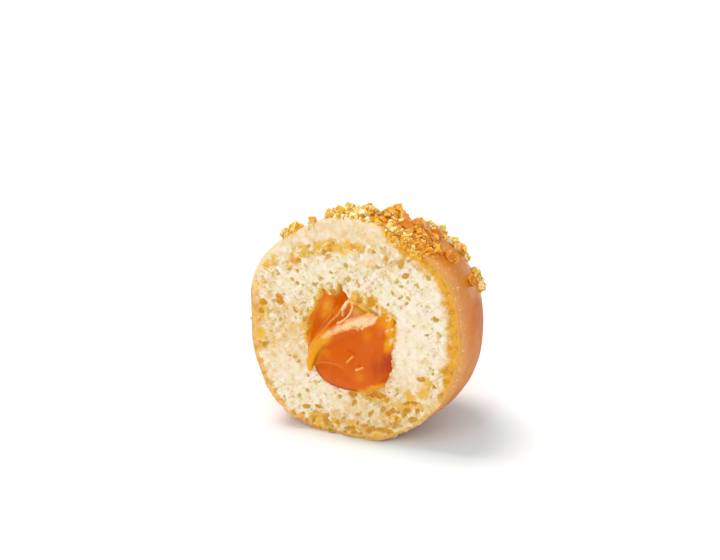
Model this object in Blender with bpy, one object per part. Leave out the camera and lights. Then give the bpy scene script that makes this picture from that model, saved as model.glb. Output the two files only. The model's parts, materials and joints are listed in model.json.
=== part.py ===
"""One half of a filled doughnut hole, lying as it was cut: a glazed dough half with coarse
sugar crystals fused to its top, and the caramel filling that shows in its cut face.

Metres, +Z up. The origin is on the table, in the middle of the flat that the half rests on.
The cut face looks along -Y and leans back a little. FORM_CENTRE is the middle of the whole
doughnut hole, and all shapes are made around it and then leant back.
"""

import math
import random

import bmesh
import bpy
from mathutils import Euler, Matrix, Vector

# The whole doughnut hole, before it was cut across its long axis
HALF_WIDTH = 0.0197
HALF_DEPTH = 0.0247
HALF_HEIGHT = 0.0189
TOP_FULLNESS = 2.16
BASE_FULLNESS = 2.06
# Hand-dropped dough isn't a true round: (waves around, share of the radius, angle in degrees)
UNEVEN_ROUND = ((2, 0.004, 106), (3, 0.008, 13), (4, 0.007, -55), (5, 0.007, 71), (6, 0.011, -138))
UNEVEN_BACK = 0.007

# How the half lies: the dough has settled flat where it rests
FORM_CENTRE = (0.0, -0.0028, 0.0179)
LEAN = math.radians(4.4)

# The cut runs a little ahead of the middle, and the knife left it wavy
CUT_AHEAD = 0.0025
CUT_WAVE = 0.00030
CUT_SIDE = 0.060
CUT_STEPS = 28

# The caramel's outline on the cut: (angle in degrees, radius) around its own middle
FILLING_MIDDLE = (0.0, -0.0019)
FILLING_OUTLINE = (
    (6, 0.0074),
    (24, 0.0081),
    (38, 0.0088),
    (53, 0.0061),
    (72, 0.0060),
    (86, 0.0063),
    (96, 0.0073),
    (102, 0.0083),
    (108, 0.0099),
    (114, 0.0081),
    (120, 0.0084),
    (126, 0.0102),
    (135, 0.0090),
    (150, 0.0087),
    (178, 0.0081),
    (205, 0.0077),
    (232, 0.0082),
    (270, 0.0079),
    (312, 0.0087),
    (330, 0.0079),
    (350, 0.0072),
)
FILLING_DEPTH = 0.0105
BRIM = 0.0005
GAP = 0.0003

# Its relief: the upper sheet lies in a hollow and folds over a full lower lobe. The sheet rises
# to the cut at its left, where it is fixed: (across) of that edge and of the full hollow
SHEET_RECESS = 0.0020
SHEET_RISE = 0.75
SHEET_EDGE = (-0.0078, -0.0038)
LOBE_BULGE = 0.0018
# Swells and dents: (across, up) of the middle, its reach across and up, and its height
SWELLS = (
    ((-0.0005, -0.0078), (0.0050, 0.0024), 0.0008),
    ((0.0050, 0.0008), (0.0026, 0.0030), 0.0011),
    ((0.0072, -0.0054), (0.0022, 0.0024), -0.0012),
    ((-0.0016, 0.0032), (0.0014, 0.0020), 0.0008),
)
# The fold, the sheet's own fold above it and the crease under it: height, width, and the places
# that they run through
FOLD_HEIGHT = 0.0012
FOLD_WIDTH = 0.0013
FOLD_LINE = (
    (-0.0076, -0.0056),
    (-0.0070, -0.0038),
    (-0.0048, -0.0016),
    (-0.0012, 0.0008),
    (0.0034, 0.0028),
)
SHEET_FOLD_HEIGHT = 0.0007
SHEET_FOLD_WIDTH = 0.0013
SHEET_FOLD_LINE = (
    (-0.0070, -0.0040),
    (-0.0052, 0.0000),
    (-0.0034, 0.0026),
    (-0.0016, 0.0044),
)
CREASE_DEPTH = 0.0005
CREASE_WIDTH = 0.0009
CREASE_LINE = ((-0.0062, -0.0062), (-0.0038, -0.0058), (-0.0014, -0.0062), (0.0006, -0.0074))
# The flap that hangs off the fold over the crumb: (across, ahead, up) and its half-thickness
FLAP_LINE = (
    (-0.0042, -0.0001, -0.0011),
    (-0.0056, 0.0004, -0.0030),
    (-0.0064, 0.0011, -0.0046),
    (-0.0068, 0.0013, -0.0061),
    (-0.0070, 0.0011, -0.0076),
)
FLAP_RADIUS = 0.0009
FLAP_TAPER = (0.9, 1.05, 1.0, 0.8, 0.4)

# The largest pits in the crumb: across and up, half-length and half-breadth, all in metres, and
# how far the length is turned from level in degrees
PITS = (
    (0.0085, 0.0127, 0.00065, 0.00065, 0),
    (0.0095, 0.0108, 0.00055, 0.00045, 60),
    (0.0134, 0.0111, 0.00062, 0.00038, -60),
    (0.0074, 0.0077, 0.00060, 0.00036, -65),
    (0.0032, 0.0057, 0.00085, 0.00065, 70),
    (0.0152, 0.0043, 0.00052, 0.00040, -40),
    (-0.0140, 0.0032, 0.00095, 0.00075, -60),
    (-0.0107, 0.0021, 0.00075, 0.00042, -50),
    (-0.0106, 0.0068, 0.00046, 0.00038, 0),
    (-0.0072, 0.0086, 0.00050, 0.00038, 30),
    (-0.0115, 0.0106, 0.00090, 0.00060, 80),
    (-0.0095, 0.0121, 0.00105, 0.00060, -20),
    (-0.0054, 0.0135, 0.00085, 0.00050, -30),
    (-0.0028, 0.0140, 0.00115, 0.00055, -15),
    (0.0034, 0.0141, 0.00046, 0.00038, 20),
    (-0.0048, -0.0118, 0.00050, 0.00036, -20),
    (0.0052, -0.0112, 0.00065, 0.00045, -20),
    (0.0104, -0.0108, 0.00085, 0.00042, 35),
    (0.0077, -0.0127, 0.00115, 0.00045, 30),
    (0.0090, -0.0142, 0.00055, 0.00038, 70),
    (0.0066, -0.0158, 0.00170, 0.00045, -3),
    (0.0008, -0.0162, 0.00100, 0.00040, 5),
    (-0.0067, -0.0156, 0.00085, 0.00040, 70),
    (-0.0044, -0.0156, 0.00100, 0.00060, -40),
    (0.0126, -0.0117, 0.00055, 0.00040, 40),
)
PIT_DEPTH = 1.3

# The sugar: flat blocky crystals in a clumped patch over the top, towards the right
CRYSTAL_LENGTHS = (0.00095, 0.00165)
CRYSTAL_BREADTHS = (0.70, 1.0)
CRYSTAL_THICKNESSES = (0.50, 0.80)
CRYSTAL_TILT = math.radians(40)
CRYSTAL_SINK = 0.25
CRYSTAL_TO_CUT = 0.0006
CRYSTAL_SEED = 5
# Clumps of crystals: how far from upright, how far round from the right towards the back, how far
# a clump spreads, how high it piles up and how many crystals it has; degrees and millimetres
CLUMPS = (
    (41, -172, 0.7, 0.5, 5),
    (37, -173, 0.7, 0.5, 4),
    (26, -169, 0.4, 0.3, 3),
    (17, -176, 0.8, 0.4, 4),
    (11, -171, 0.9, 0.8, 7),
    (10, 158, 0.9, 0.9, 7),
    (3, -125, 0.8, 0.6, 5),
    (3, -52, 0.7, 0.6, 4),
    (7, 57, 0.8, 0.5, 5),
    (11, 33, 0.8, 0.5, 4),
    (19, 66, 1.0, 0.4, 4),
    (25, 74, 1.0, 0.8, 7),
    (22, 48, 0.9, 0.3, 4),
    (19, -14, 0.7, 0.3, 4),
    (27, -2, 0.9, 0.3, 4),
    (22, 14, 0.9, 0.3, 4),
    (31, 13, 1.0, 0.3, 4),
    (33, 29, 1.0, 0.3, 4),
    (15, 50, 0.9, 0.4, 3),
    (27, 24, 1.0, 0.3, 5),
    (29, 38, 0.9, 0.3, 5),
    (32, 54, 0.9, 0.4, 4),
    (34, 7, 0.9, 0.3, 5),
    (36, 20, 0.9, 0.3, 5),
    (38, 36, 0.9, 0.3, 4),
    (41, 62, 0.9, 0.5, 5),
    (42, 9, 0.8, 0.3, 4),
    (46, 58, 1.0, 0.8, 7),
    (49, 47, 0.8, 0.8, 6),
    (53, 43, 0.8, 0.8, 6),
    (58, 45, 0.6, 0.5, 3),
    (48, 13, 0.6, 0.5, 4),
    (64, 21, 0.8, 0.5, 5),
    (66, 39, 0.8, 0.5, 5),
    (71, 38, 0.6, 0.5, 3),
    (16, 105, 1.0, 0.5, 3),
    (31, 112, 1.0, 0.5, 3),
    (22, 145, 0.9, 0.5, 2),
    (44, 92, 1.0, 0.5, 3),
    (36, 145, 0.9, 0.5, 2),
)

SKIN_SEGMENTS = 60
SKIN_RINGS = 30
FILLING_SEGMENTS = 60
FILLING_RINGS = 20
FILLING_WAIST = -0.40


def smooth_step(low, high, value):
    share = min(1.0, max(0.0, (value - low) / (high - low)))
    return share * share * (3 - 2 * share)


def filling_radius(angle):
    """The caramel's outline at an angle in radians, joined smoothly between its points."""
    first, last = FILLING_OUTLINE[0], FILLING_OUTLINE[-1]
    points = ((last[0] - 360, last[1]),) + FILLING_OUTLINE + ((first[0] + 360, first[1]),)
    degrees = math.degrees(angle) % 360
    for (start, near), (end, far) in zip(points, points[1:]):
        if start <= degrees <= end:
            return near + (far - near) * smooth_step(start, end, degrees)
    raise ValueError(f"no outline at {degrees} degrees")


def skin_point(direction):
    """Where the ray along a unit direction leaves the whole doughnut hole."""
    x, y, z = direction
    level = math.hypot(x / HALF_WIDTH, y / HALF_DEPTH)
    upright = abs(z) / HALF_HEIGHT
    fullness = TOP_FULLNESS if z > 0 else BASE_FULLNESS
    reach = (level**fullness + upright**fullness) ** (-1 / fullness)
    around = math.atan2(z, x)
    lumps = (x * x + z * z) * sum(
        share * math.cos(waves * around - math.radians(turn))
        for waves, share, turn in UNEVEN_ROUND
    )
    lumps += y * y * UNEVEN_BACK * (
        math.sin(4.3 * y - 2.2 * x + 1.1) + 0.7 * math.sin(5.2 * z + 3.1 * y + 2.0)
    )
    return Vector(direction) * reach * (1 + lumps)


def line_distance(across, up, points):
    """The distance from a place on the face to a line through points."""
    place = Vector((across, up))
    nearest = math.inf
    for start, end in zip(points, points[1:]):
        start, run = Vector(start), Vector(end) - Vector(start)
        share = min(1.0, max(0.0, (place - start).dot(run) / run.length_squared))
        nearest = min(nearest, (place - start - share * run).length)
    return nearest


def bell(distance):
    return math.exp(-distance * distance)


def filling_front(across, up):
    """How far the caramel stands out of the cut face at a place on it."""
    above_fold = smooth_step(-0.0045, 0.0055, up - 0.55 * across)
    hollow = SHEET_RECESS * (1 - SHEET_RISE * (1 - smooth_step(*SHEET_EDGE, across)))
    stand = LOBE_BULGE - (LOBE_BULGE + hollow) * above_fold
    for (middle, height), reach, swell in SWELLS:
        off = math.hypot((across - middle) / reach[0], (up - height) / reach[1])
        stand += swell * bell(off)
    stand += FOLD_HEIGHT * bell(line_distance(across, up, FOLD_LINE) / FOLD_WIDTH)
    sheet_fold = line_distance(across, up, SHEET_FOLD_LINE) / SHEET_FOLD_WIDTH
    stand += SHEET_FOLD_HEIGHT * bell(sheet_fold)
    return stand - CREASE_DEPTH * bell(
        line_distance(across, up, CREASE_LINE) / CREASE_WIDTH
    )


def clear_scene():
    for obj in list(bpy.data.objects):
        bpy.data.objects.remove(obj, do_unlink=True)


def new_collection(name, hidden=False):
    made = bpy.data.collections.new(name)
    bpy.context.scene.collection.children.link(made)
    made.hide_render = hidden
    return made


def new_material(name, colour, roughness):
    made = bpy.data.materials.new(name)
    made.use_nodes = True
    shader = made.node_tree.nodes["Principled BSDF"]
    shader.inputs["Base Color"].default_value = (*colour, 1.0)
    shader.inputs["Roughness"].default_value = roughness
    shader.inputs["Metallic"].default_value = 0.0
    return made


def new_object(name, shape, collection, parent=None):
    """A mesh object from a bmesh, which is freed."""
    mesh = bpy.data.meshes.new(name)
    shape.to_mesh(mesh)
    shape.free()
    made = bpy.data.objects.new(name, mesh)
    collection.objects.link(made)
    made.parent = parent
    return made


def new_cutter(name, shape, collection, parent=None):
    bmesh.ops.recalc_face_normals(shape, faces=list(shape.faces))
    cutter = new_object(name, shape, collection, parent)
    cutter.hide_render = True
    cutter.display_type = "WIRE"
    return cutter


def add_boolean(target, operation, other):
    """Cuts or joins with another object, or joins all of a collection in one go."""
    modifier = target.modifiers.new(operation.title(), "BOOLEAN")
    modifier.operation = operation
    if isinstance(other, bpy.types.Collection):
        modifier.operand_type = "COLLECTION"
        modifier.collection = other
    else:
        modifier.object = other


def apply_modifiers(target):
    graph = bpy.context.evaluated_depsgraph_get()
    mesh = bpy.data.meshes.new_from_object(target.evaluated_get(graph))
    target.modifiers.clear()
    target.data = mesh


def keep_largest_shell(target):
    """Fills any hollow that the crystals sealed, and drops loose scraps."""
    shape = bmesh.new()
    shape.from_mesh(target.data)
    left = set(shape.verts)
    shells = []
    while left:
        shell = {left.pop()}
        growing = list(shell)
        while growing:
            vertex = growing.pop()
            for other in {edge.other_vert(vertex) for edge in vertex.link_edges} & left:
                left.remove(other)
                shell.add(other)
                growing.append(other)
        shells.append(shell)
    shells.sort(key=len)
    scraps = [vertex for shell in shells[:-1] for vertex in shell]
    bmesh.ops.delete(shape, geom=scraps, context="VERTS")
    shape.to_mesh(target.data)
    shape.free()


def make_rest():
    """The empty at the middle of the whole doughnut hole, leaning as the half lies."""
    rest = bpy.data.objects.new("form_centre", None)
    bpy.context.scene.collection.objects.link(rest)
    rest.location = FORM_CENTRE
    rest.rotation_euler = (-LEAN, 0, 0)
    return rest


def make_whole(collection, rest):
    """The whole doughnut hole, which the cutters then trim."""
    shape = bmesh.new()
    bmesh.ops.create_uvsphere(
        shape, u_segments=SKIN_SEGMENTS, v_segments=SKIN_RINGS, radius=1.0
    )
    for vertex in shape.verts:
        vertex.co = skin_point(vertex.co.normalized())
    return new_object("dough_half", shape, collection, rest)


def cut_wave(across, up):
    """How far the wavy cut strays from its plane."""
    x, z = across * 1000, up * 1000
    return CUT_WAVE * (
        math.sin(0.33 * x + 0.21 * z + 0.5)
        + 0.7 * math.sin(0.52 * z - 0.30 * x + 2.1)
        + 0.4 * math.sin(0.95 * x + 0.80 * z)
    )


def make_face_cutter(collection, rest):
    """A block whose back is the wavy cut, reaching from there past the front."""
    shape = bmesh.new()
    bmesh.ops.create_grid(
        shape, x_segments=CUT_STEPS, y_segments=CUT_STEPS, size=CUT_SIDE / 2
    )
    shape.transform(Matrix.Rotation(math.pi / 2, 4, "X"))
    extruded = bmesh.ops.extrude_face_region(shape, geom=list(shape.faces))["geom"]
    ahead = {item for item in extruded if isinstance(item, bmesh.types.BMVert)}
    for vertex in shape.verts:
        stray = -CUT_SIDE / 2 if vertex in ahead else cut_wave(vertex.co.x, vertex.co.z)
        vertex.co.y = stray - CUT_AHEAD
    return new_cutter("face_cutter", shape, collection, rest)


def make_table_cutter(collection):
    """A block under the table top, which leaves the flat that the half rests on."""
    shape = bmesh.new()
    bmesh.ops.create_cube(shape, size=CUT_SIDE)
    bmesh.ops.translate(shape, verts=list(shape.verts), vec=(0, 0, -CUT_SIDE / 2))
    return new_cutter("table_cutter", shape, collection)


def filling_shape(clearance, open_front):
    """The caramel as a ball pressed to its outline, or the larger hollow that holds it."""
    shape = bmesh.new()
    bmesh.ops.create_uvsphere(
        shape, u_segments=FILLING_SEGMENTS, v_segments=FILLING_RINGS, radius=1.0
    )
    for vertex in shape.verts:
        angle = math.atan2(vertex.co.y, vertex.co.x)
        height = math.asin(max(-1.0, min(1.0, vertex.co.z)))
        ahead = height > FILLING_WAIST
        end = math.pi / 2 if ahead else -math.pi / 2
        height = abs(end) * (height - FILLING_WAIST) / (end - FILLING_WAIST)
        outwards = math.cos(height)
        spread = min(1.0, 3 * outwards) if ahead and open_front else outwards**0.75
        reach = (filling_radius(angle) + clearance) * spread
        across = FILLING_MIDDLE[0] + reach * math.cos(angle)
        up = FILLING_MIDDLE[1] + reach * math.sin(angle)
        brim = min(0.0, filling_front(across, up)) - BRIM
        if not ahead:
            stand = brim - (FILLING_DEPTH + clearance) * math.sin(height) ** 1.2
        elif open_front:
            stand = brim + FILLING_DEPTH * math.sin(height)
        else:
            stand = brim + (filling_front(across, up) - brim) * math.sin(height) ** 0.55
        vertex.co = Vector((across, -CUT_AHEAD - stand, up))
    return shape


def make_cavity_cutter(collection, rest):
    return new_cutter("cavity_cutter", filling_shape(GAP, True), collection, rest)


def make_pit_cutter(collection, rest):
    """One oval ball for each pit, sunk to its middle in the cut face."""
    shape = bmesh.new()
    for across, up, length, breadth, degrees in PITS:
        place = Matrix.Translation((across, cut_wave(across, up) - CUT_AHEAD, up))
        turn = Matrix.Rotation(-math.radians(degrees), 4, "Y")
        stretch = Matrix.Diagonal((length, PIT_DEPTH * breadth, breadth, 1.0))
        bmesh.ops.create_icosphere(
            shape, subdivisions=1, radius=1.0, matrix=place @ turn @ stretch
        )
    return new_cutter("pit_cutter", shape, collection, rest)


def crystal_stands():
    """(place, turn, size) of each crystal; a clump's crystals pile up towards its middle."""
    draw = random.Random(CRYSTAL_SEED)
    stands = []
    for tilt, turn, spread, height, count in CLUMPS:
        heading = math.radians(turn)
        level = Vector((math.cos(heading), math.sin(heading), 0)) * math.sin(math.radians(tilt))
        middle = level + Vector((0, 0, math.cos(math.radians(tilt))))
        sides = middle.to_track_quat("Z", "Y").to_matrix()
        for number in range(count):
            raised = number / count
            out = spread * (1 - 0.75 * raised) * math.sqrt(draw.random()) / 1000
            around = draw.uniform(0, 2 * math.pi)
            off = sides @ Vector((out * math.cos(around), out * math.sin(around), 0))
            direction = (skin_point(middle) + off).normalized()
            length = draw.uniform(*CRYSTAL_LENGTHS)
            breadth = length * draw.uniform(*CRYSTAL_BREADTHS)
            size = Vector((length, breadth, length * draw.uniform(*CRYSTAL_THICKNESSES)))
            tilts = (
                draw.uniform(-CRYSTAL_TILT, CRYSTAL_TILT),
                draw.uniform(-CRYSTAL_TILT, CRYSTAL_TILT),
                draw.uniform(0, math.pi),
            )
            turned = direction.to_track_quat("Z", "Y").to_matrix() @ Euler(tilts).to_matrix()
            lift = raised * height / 1000 + size.z * (0.5 - CRYSTAL_SINK)
            place = skin_point(direction) + direction * lift
            place.y = max(place.y, CRYSTAL_TO_CUT - CUT_AHEAD)
            stands.append((place, turned, size))
    return stands


def make_crystals(collection, rest):
    for number, (place, turned, size) in enumerate(crystal_stands()):
        stand = Matrix.Translation(place) @ turned.to_4x4() @ Matrix.Diagonal((*size, 1.0))
        shape = bmesh.new()
        bmesh.ops.create_cube(shape, size=1.0, matrix=stand)
        new_object(f"crystal_{number:03d}", shape, collection, rest)


def make_flap(collection, rest):
    """The hanging flap: a tapered curve, made a mesh so that it can be joined."""
    curve = bpy.data.curves.new("caramel_flap", "CURVE")
    curve.dimensions = "3D"
    curve.bevel_depth = FLAP_RADIUS
    curve.bevel_resolution = 2
    curve.resolution_u = 4
    curve.use_fill_caps = True
    spline = curve.splines.new("BEZIER")
    spline.bezier_points.add(len(FLAP_LINE) - 1)
    for point, (across, ahead, up), taper in zip(spline.bezier_points, FLAP_LINE, FLAP_TAPER):
        point.co = (across, -CUT_AHEAD - ahead, up)
        point.radius = taper
        point.handle_left_type = point.handle_right_type = "AUTO"
    tube = bpy.data.objects.new("caramel_flap_curve", curve)
    collection.objects.link(tube)
    graph = bpy.context.evaluated_depsgraph_get()
    shape = bmesh.new()
    shape.from_mesh(bpy.data.meshes.new_from_object(tube.evaluated_get(graph)))
    bpy.data.objects.remove(tube, do_unlink=True)
    bmesh.ops.remove_doubles(shape, verts=list(shape.verts), dist=0.00001)
    return new_cutter("caramel_flap", shape, collection, rest)


def make_dough(food, cutters, sugar, rest):
    dough = make_whole(food, rest)
    for cutter in (
        make_face_cutter(cutters, rest),
        make_table_cutter(cutters),
        make_cavity_cutter(cutters, rest),
        make_pit_cutter(cutters, rest),
    ):
        add_boolean(dough, "DIFFERENCE", cutter)
    make_crystals(sugar, rest)
    add_boolean(dough, "UNION", sugar)
    apply_modifiers(dough)
    for crystal in list(sugar.objects):
        bpy.data.objects.remove(crystal, do_unlink=True)
    keep_largest_shell(dough)
    dough.data.materials.clear()
    dough.data.materials.append(new_material("fried_dough", (0.80, 0.52, 0.27), 0.45))
    dough.data.set_sharp_from_angle(angle=math.radians(28))


def make_caramel(food, cutters, rest):
    shape = filling_shape(0.0, False)
    bmesh.ops.recalc_face_normals(shape, faces=list(shape.faces))
    caramel = new_object("caramel_filling", shape, food, rest)
    caramel.data.materials.append(new_material("caramel", (0.72, 0.26, 0.03), 0.15))
    add_boolean(caramel, "UNION", make_flap(cutters, rest))
    caramel.data.shade_smooth()


def main():
    clear_scene()
    food = new_collection("doughnut_hole_half")
    cutters = new_collection("cutters", hidden=True)
    sugar = new_collection("sugar")
    rest = make_rest()
    make_dough(food, cutters, sugar, rest)
    make_caramel(food, cutters, rest)


main()
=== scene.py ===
"""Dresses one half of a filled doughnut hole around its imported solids: the open crumb of the
cut face, the fried and glazed skin, the caramel, the coarse sugar, and the flakes on the rim.

Metres, +Z up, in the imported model's frame. Shapes are made in the form's own frame, whose
origin is the middle of the whole doughnut hole, and are then leant back as the half lies.
"""

import json
import math
import random

import bmesh
import bpy
import numpy as np
from bpy.props import FloatProperty, FloatVectorProperty, IntProperty, PointerProperty
from mathutils import Euler, Matrix, Vector

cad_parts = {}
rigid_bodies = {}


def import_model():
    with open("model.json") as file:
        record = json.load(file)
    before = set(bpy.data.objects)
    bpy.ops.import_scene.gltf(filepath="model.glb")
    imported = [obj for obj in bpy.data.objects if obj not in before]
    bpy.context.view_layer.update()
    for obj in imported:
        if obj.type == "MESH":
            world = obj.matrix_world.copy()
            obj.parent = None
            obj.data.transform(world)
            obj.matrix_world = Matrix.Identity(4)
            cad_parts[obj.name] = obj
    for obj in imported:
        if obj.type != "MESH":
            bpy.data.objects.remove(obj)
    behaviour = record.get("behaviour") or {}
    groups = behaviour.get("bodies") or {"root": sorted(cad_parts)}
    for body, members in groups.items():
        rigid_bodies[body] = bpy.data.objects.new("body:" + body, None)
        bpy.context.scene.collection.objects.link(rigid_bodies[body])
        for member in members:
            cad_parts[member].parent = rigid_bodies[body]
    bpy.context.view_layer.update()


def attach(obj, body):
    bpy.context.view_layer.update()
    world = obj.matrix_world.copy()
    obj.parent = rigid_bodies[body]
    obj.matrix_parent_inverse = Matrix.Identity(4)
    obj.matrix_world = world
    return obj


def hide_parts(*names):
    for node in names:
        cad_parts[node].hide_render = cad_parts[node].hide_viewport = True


bl_info = {
    "name": "Filled Doughnut Hole Half",
    "version": (1, 0, 0),
    "blender": (4, 5, 0),
    "location": "3D View > Sidebar > Doughnut",
    "description": "Dresses a cut, caramel-filled doughnut hole with crumb, glaze and sugar",
    "category": "Add Mesh",
}

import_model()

# The form, as the solids have it
HALF_WIDTH = 0.0197
HALF_DEPTH = 0.0247
HALF_HEIGHT = 0.0189
TOP_FULLNESS = 2.16
BASE_FULLNESS = 2.06
UNEVEN_ROUND = ((2, 0.004, 106), (3, 0.008, 13), (4, 0.007, -55), (5, 0.007, 71), (6, 0.011, -138))
UNEVEN_BACK = 0.007
FORM_CENTRE = Vector((0.0, -0.0028, 0.0179))
LEAN = math.radians(4.4)
CUT_AHEAD = 0.0025
CUT_WAVE = 0.00030

# The caramel, as the solids have it
FILLING_MIDDLE = (0.0, -0.0019)
FILLING_OUTLINE = (
    (6, 0.0074), (24, 0.0081), (38, 0.0088), (53, 0.0061), (72, 0.0060), (86, 0.0063),
    (96, 0.0073), (102, 0.0083), (108, 0.0099), (114, 0.0081), (120, 0.0084), (126, 0.0102),
    (135, 0.0090), (150, 0.0087), (178, 0.0081), (205, 0.0077), (232, 0.0082), (270, 0.0079),
    (312, 0.0087), (330, 0.0079), (350, 0.0072),
)
SHEET_FOLD_HEIGHT = 0.0007
SHEET_FOLD_WIDTH = 0.0013
SHEET_FOLD_LINE = ((-0.0070, -0.0040), (-0.0052, 0.0000), (-0.0034, 0.0026), (-0.0016, 0.0044))
FILLING_DEPTH = 0.0105
SHEET_RECESS = 0.0020
SHEET_RISE = 0.75
SHEET_EDGE = (-0.0078, -0.0038)
LOBE_BULGE = 0.0018
SWELLS = (
    ((-0.0005, -0.0078), (0.0050, 0.0024), 0.0008), ((0.0050, 0.0008), (0.0026, 0.0030), 0.0011),
    ((0.0072, -0.0054), (0.0022, 0.0024), -0.0012), ((-0.0016, 0.0032), (0.0014, 0.0020), 0.0008),
)
FOLD_HEIGHT = 0.0012
FOLD_WIDTH = 0.0013
FOLD_LINE = (
    (-0.0076, -0.0056), (-0.0070, -0.0038), (-0.0048, -0.0016), (-0.0012, 0.0008),
    (0.0034, 0.0028),
)
CREASE_DEPTH = 0.0005
CREASE_WIDTH = 0.0009
CREASE_LINE = ((-0.0062, -0.0062), (-0.0038, -0.0058), (-0.0014, -0.0062), (0.0006, -0.0074))
FLAP_LINE = (
    (-0.0042, -0.0001, -0.0011), (-0.0056, 0.0004, -0.0030), (-0.0064, 0.0011, -0.0046),
    (-0.0068, 0.0013, -0.0061), (-0.0070, 0.0011, -0.0076),
)
FLAP_RADIUS = 0.0009
FLAP_TAPER = (0.9, 1.05, 1.0, 0.8, 0.4)

# The crystals, as the solids have them
CRYSTAL_LENGTHS = (0.00095, 0.00165)
CRYSTAL_BREADTHS = (0.70, 1.0)
CRYSTAL_THICKNESSES = (0.50, 0.80)
CRYSTAL_TILT = math.radians(40)
CRYSTAL_SINK = 0.25
CRYSTAL_TO_CUT = 0.0006
CRYSTAL_SEED = 5
# Clumps of crystals: how far from upright, how far round from the right towards the back, how far
# a clump spreads, how high it piles up and how many crystals it has; degrees and millimetres
CLUMPS = (
    (41, -172, 0.7, 0.5, 5), (37, -173, 0.7, 0.5, 4), (26, -169, 0.4, 0.3, 3),
    (17, -176, 0.8, 0.4, 4), (11, -171, 0.9, 0.8, 7), (10, 158, 0.9, 0.9, 7),
    (3, -125, 0.8, 0.6, 5), (3, -52, 0.7, 0.6, 4), (7, 57, 0.8, 0.5, 5), (11, 33, 0.8, 0.5, 4),
    (19, 66, 1.0, 0.4, 4), (25, 74, 1.0, 0.8, 7), (22, 48, 0.9, 0.3, 4), (19, -14, 0.7, 0.3, 4),
    (27, -2, 0.9, 0.3, 4), (22, 14, 0.9, 0.3, 4), (31, 13, 1.0, 0.3, 4), (33, 29, 1.0, 0.3, 4),
    (15, 50, 0.9, 0.4, 3), (27, 24, 1.0, 0.3, 5), (29, 38, 0.9, 0.3, 5), (32, 54, 0.9, 0.4, 4),
    (34, 7, 0.9, 0.3, 5), (36, 20, 0.9, 0.3, 5), (38, 36, 0.9, 0.3, 4), (41, 62, 0.9, 0.5, 5),
    (42, 9, 0.8, 0.3, 4), (46, 58, 1.0, 0.8, 7), (49, 47, 0.8, 0.8, 6), (53, 43, 0.8, 0.8, 6),
    (58, 45, 0.6, 0.5, 3), (48, 13, 0.6, 0.5, 4), (64, 21, 0.8, 0.5, 5), (66, 39, 0.8, 0.5, 5),
    (71, 38, 0.6, 0.5, 3), (16, 105, 1.0, 0.5, 3), (31, 112, 1.0, 0.5, 3), (22, 145, 0.9, 0.5, 2),
    (44, 92, 1.0, 0.5, 3), (36, 145, 0.9, 0.5, 2),
)

LEANT = Matrix.Translation(FORM_CENTRE) @ Matrix.Rotation(-LEAN, 4, "X")


def linear(red, green, blue):
    """A colour as a picture shows it, 0 to 255, turned into the light that a shader takes."""

    def channel(value):
        share = value / 255
        if share <= 0.04045:
            return share / 12.92
        return ((share + 0.055) / 1.055) ** 2.4

    return (channel(red), channel(green), channel(blue))


def colour(name, description, shade):
    """A colour that a user may change, from one as a picture shows it."""
    return FloatVectorProperty(
        name=name,
        description=description,
        subtype="COLOR",
        size=3,
        min=0.0,
        max=1.0,
        default=linear(*shade),
    )


def measure(name, description, default):
    """A length that a user may change, in metres."""
    return FloatProperty(
        name=name, description=description, default=default, min=0.0, unit="LENGTH", precision=6
    )


def power(name, description, default):
    """A light's power that a user may change, in watts."""
    return FloatProperty(name=name, description=description, default=default, unit="POWER")


def angle(name, description, degrees):
    """An angle that a user may change."""
    return FloatProperty(
        name=name, description=description, default=math.radians(degrees), subtype="ANGLE"
    )


class CrumbSettings(bpy.types.PropertyGroup):
    """The open crumb of the cut face."""

    pale: colour("Pale crumb", "Cell walls in the middle of the cut", (245, 233, 214))
    rosy: colour("Rosy crumb", "Faint blotches in the pale crumb", (244, 227, 207))
    cream: colour("Cream crumb", "Faint yellow blotches in the pale crumb", (236, 228, 194))
    # Painted highlight, laid on the raised walls of the crumb
    bright: colour("Bright crumb", "The walls that stand out", (255, 250, 240))
    warm: colour("Warm crumb", "Mottles, most of them towards the crust", (230, 198, 142))
    # Shaded cells, deep pits and fatty pits are laid by how deep a pore is: partly the pits' own
    # golden colour, partly painted shade in the hollows
    shaded: colour("Shaded cells", "The bottom of the small cells", (208, 184, 118))
    golden: colour("Golden crumb", "Crumb soaked with fat", (234, 186, 70))
    soaked: colour("Soaked crumb", "Crumb soaked with caramel", (236, 150, 40))
    deep: colour("Deep pits", "The bottom of the larger pits", (216, 172, 70))
    fatty: colour("Fatty pits", "The bottom of the pits in golden crumb", (218, 152, 38))
    crust: colour("Crust", "The cut edge of the crust on the right", (226, 170, 50))
    browned: colour("Browned crust", "Darker patches in the crust's edge", (214, 148, 26))
    pale_crust: colour("Pale crust", "Where the cut edge of the crust is pale", (248, 214, 160))
    outer: colour("Outer crust", "The crust right at the rim", (228, 162, 86))
    pore_depth: measure("Pore depth", "How deep the crumb opens at most", 0.0011)
    pores: IntProperty(name="Pores", description="Fine pores", default=12000, min=0)
    flakes: IntProperty(name="Flakes", description="Scraps on the rim", default=170, min=0)
    seed: IntProperty(name="Seed", description="Places the fine pores", default=7)


class SkinSettings(bpy.types.PropertyGroup):
    """The fried skin and its thin glaze."""

    tan: colour("Tan", "The glazed side", (208, 128, 52))
    brown: colour("Brown", "Darker streaks, the low side and the back", (192, 94, 16))
    milky: colour("Milky glaze", "Where the glaze is thick", (232, 164, 104))
    amber: colour("Amber", "Glaze stained by the sugar", (206, 122, 12))
    golden_rim: colour("Golden rim", "The skin beside the cut on the right", (226, 164, 60))
    pale_rim: colour("Pale rim", "Scraps and the skin beside the cut", (248, 212, 164))
    thickness: measure("Crust", "Thickness of the skin shell", 0.0010)


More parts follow.
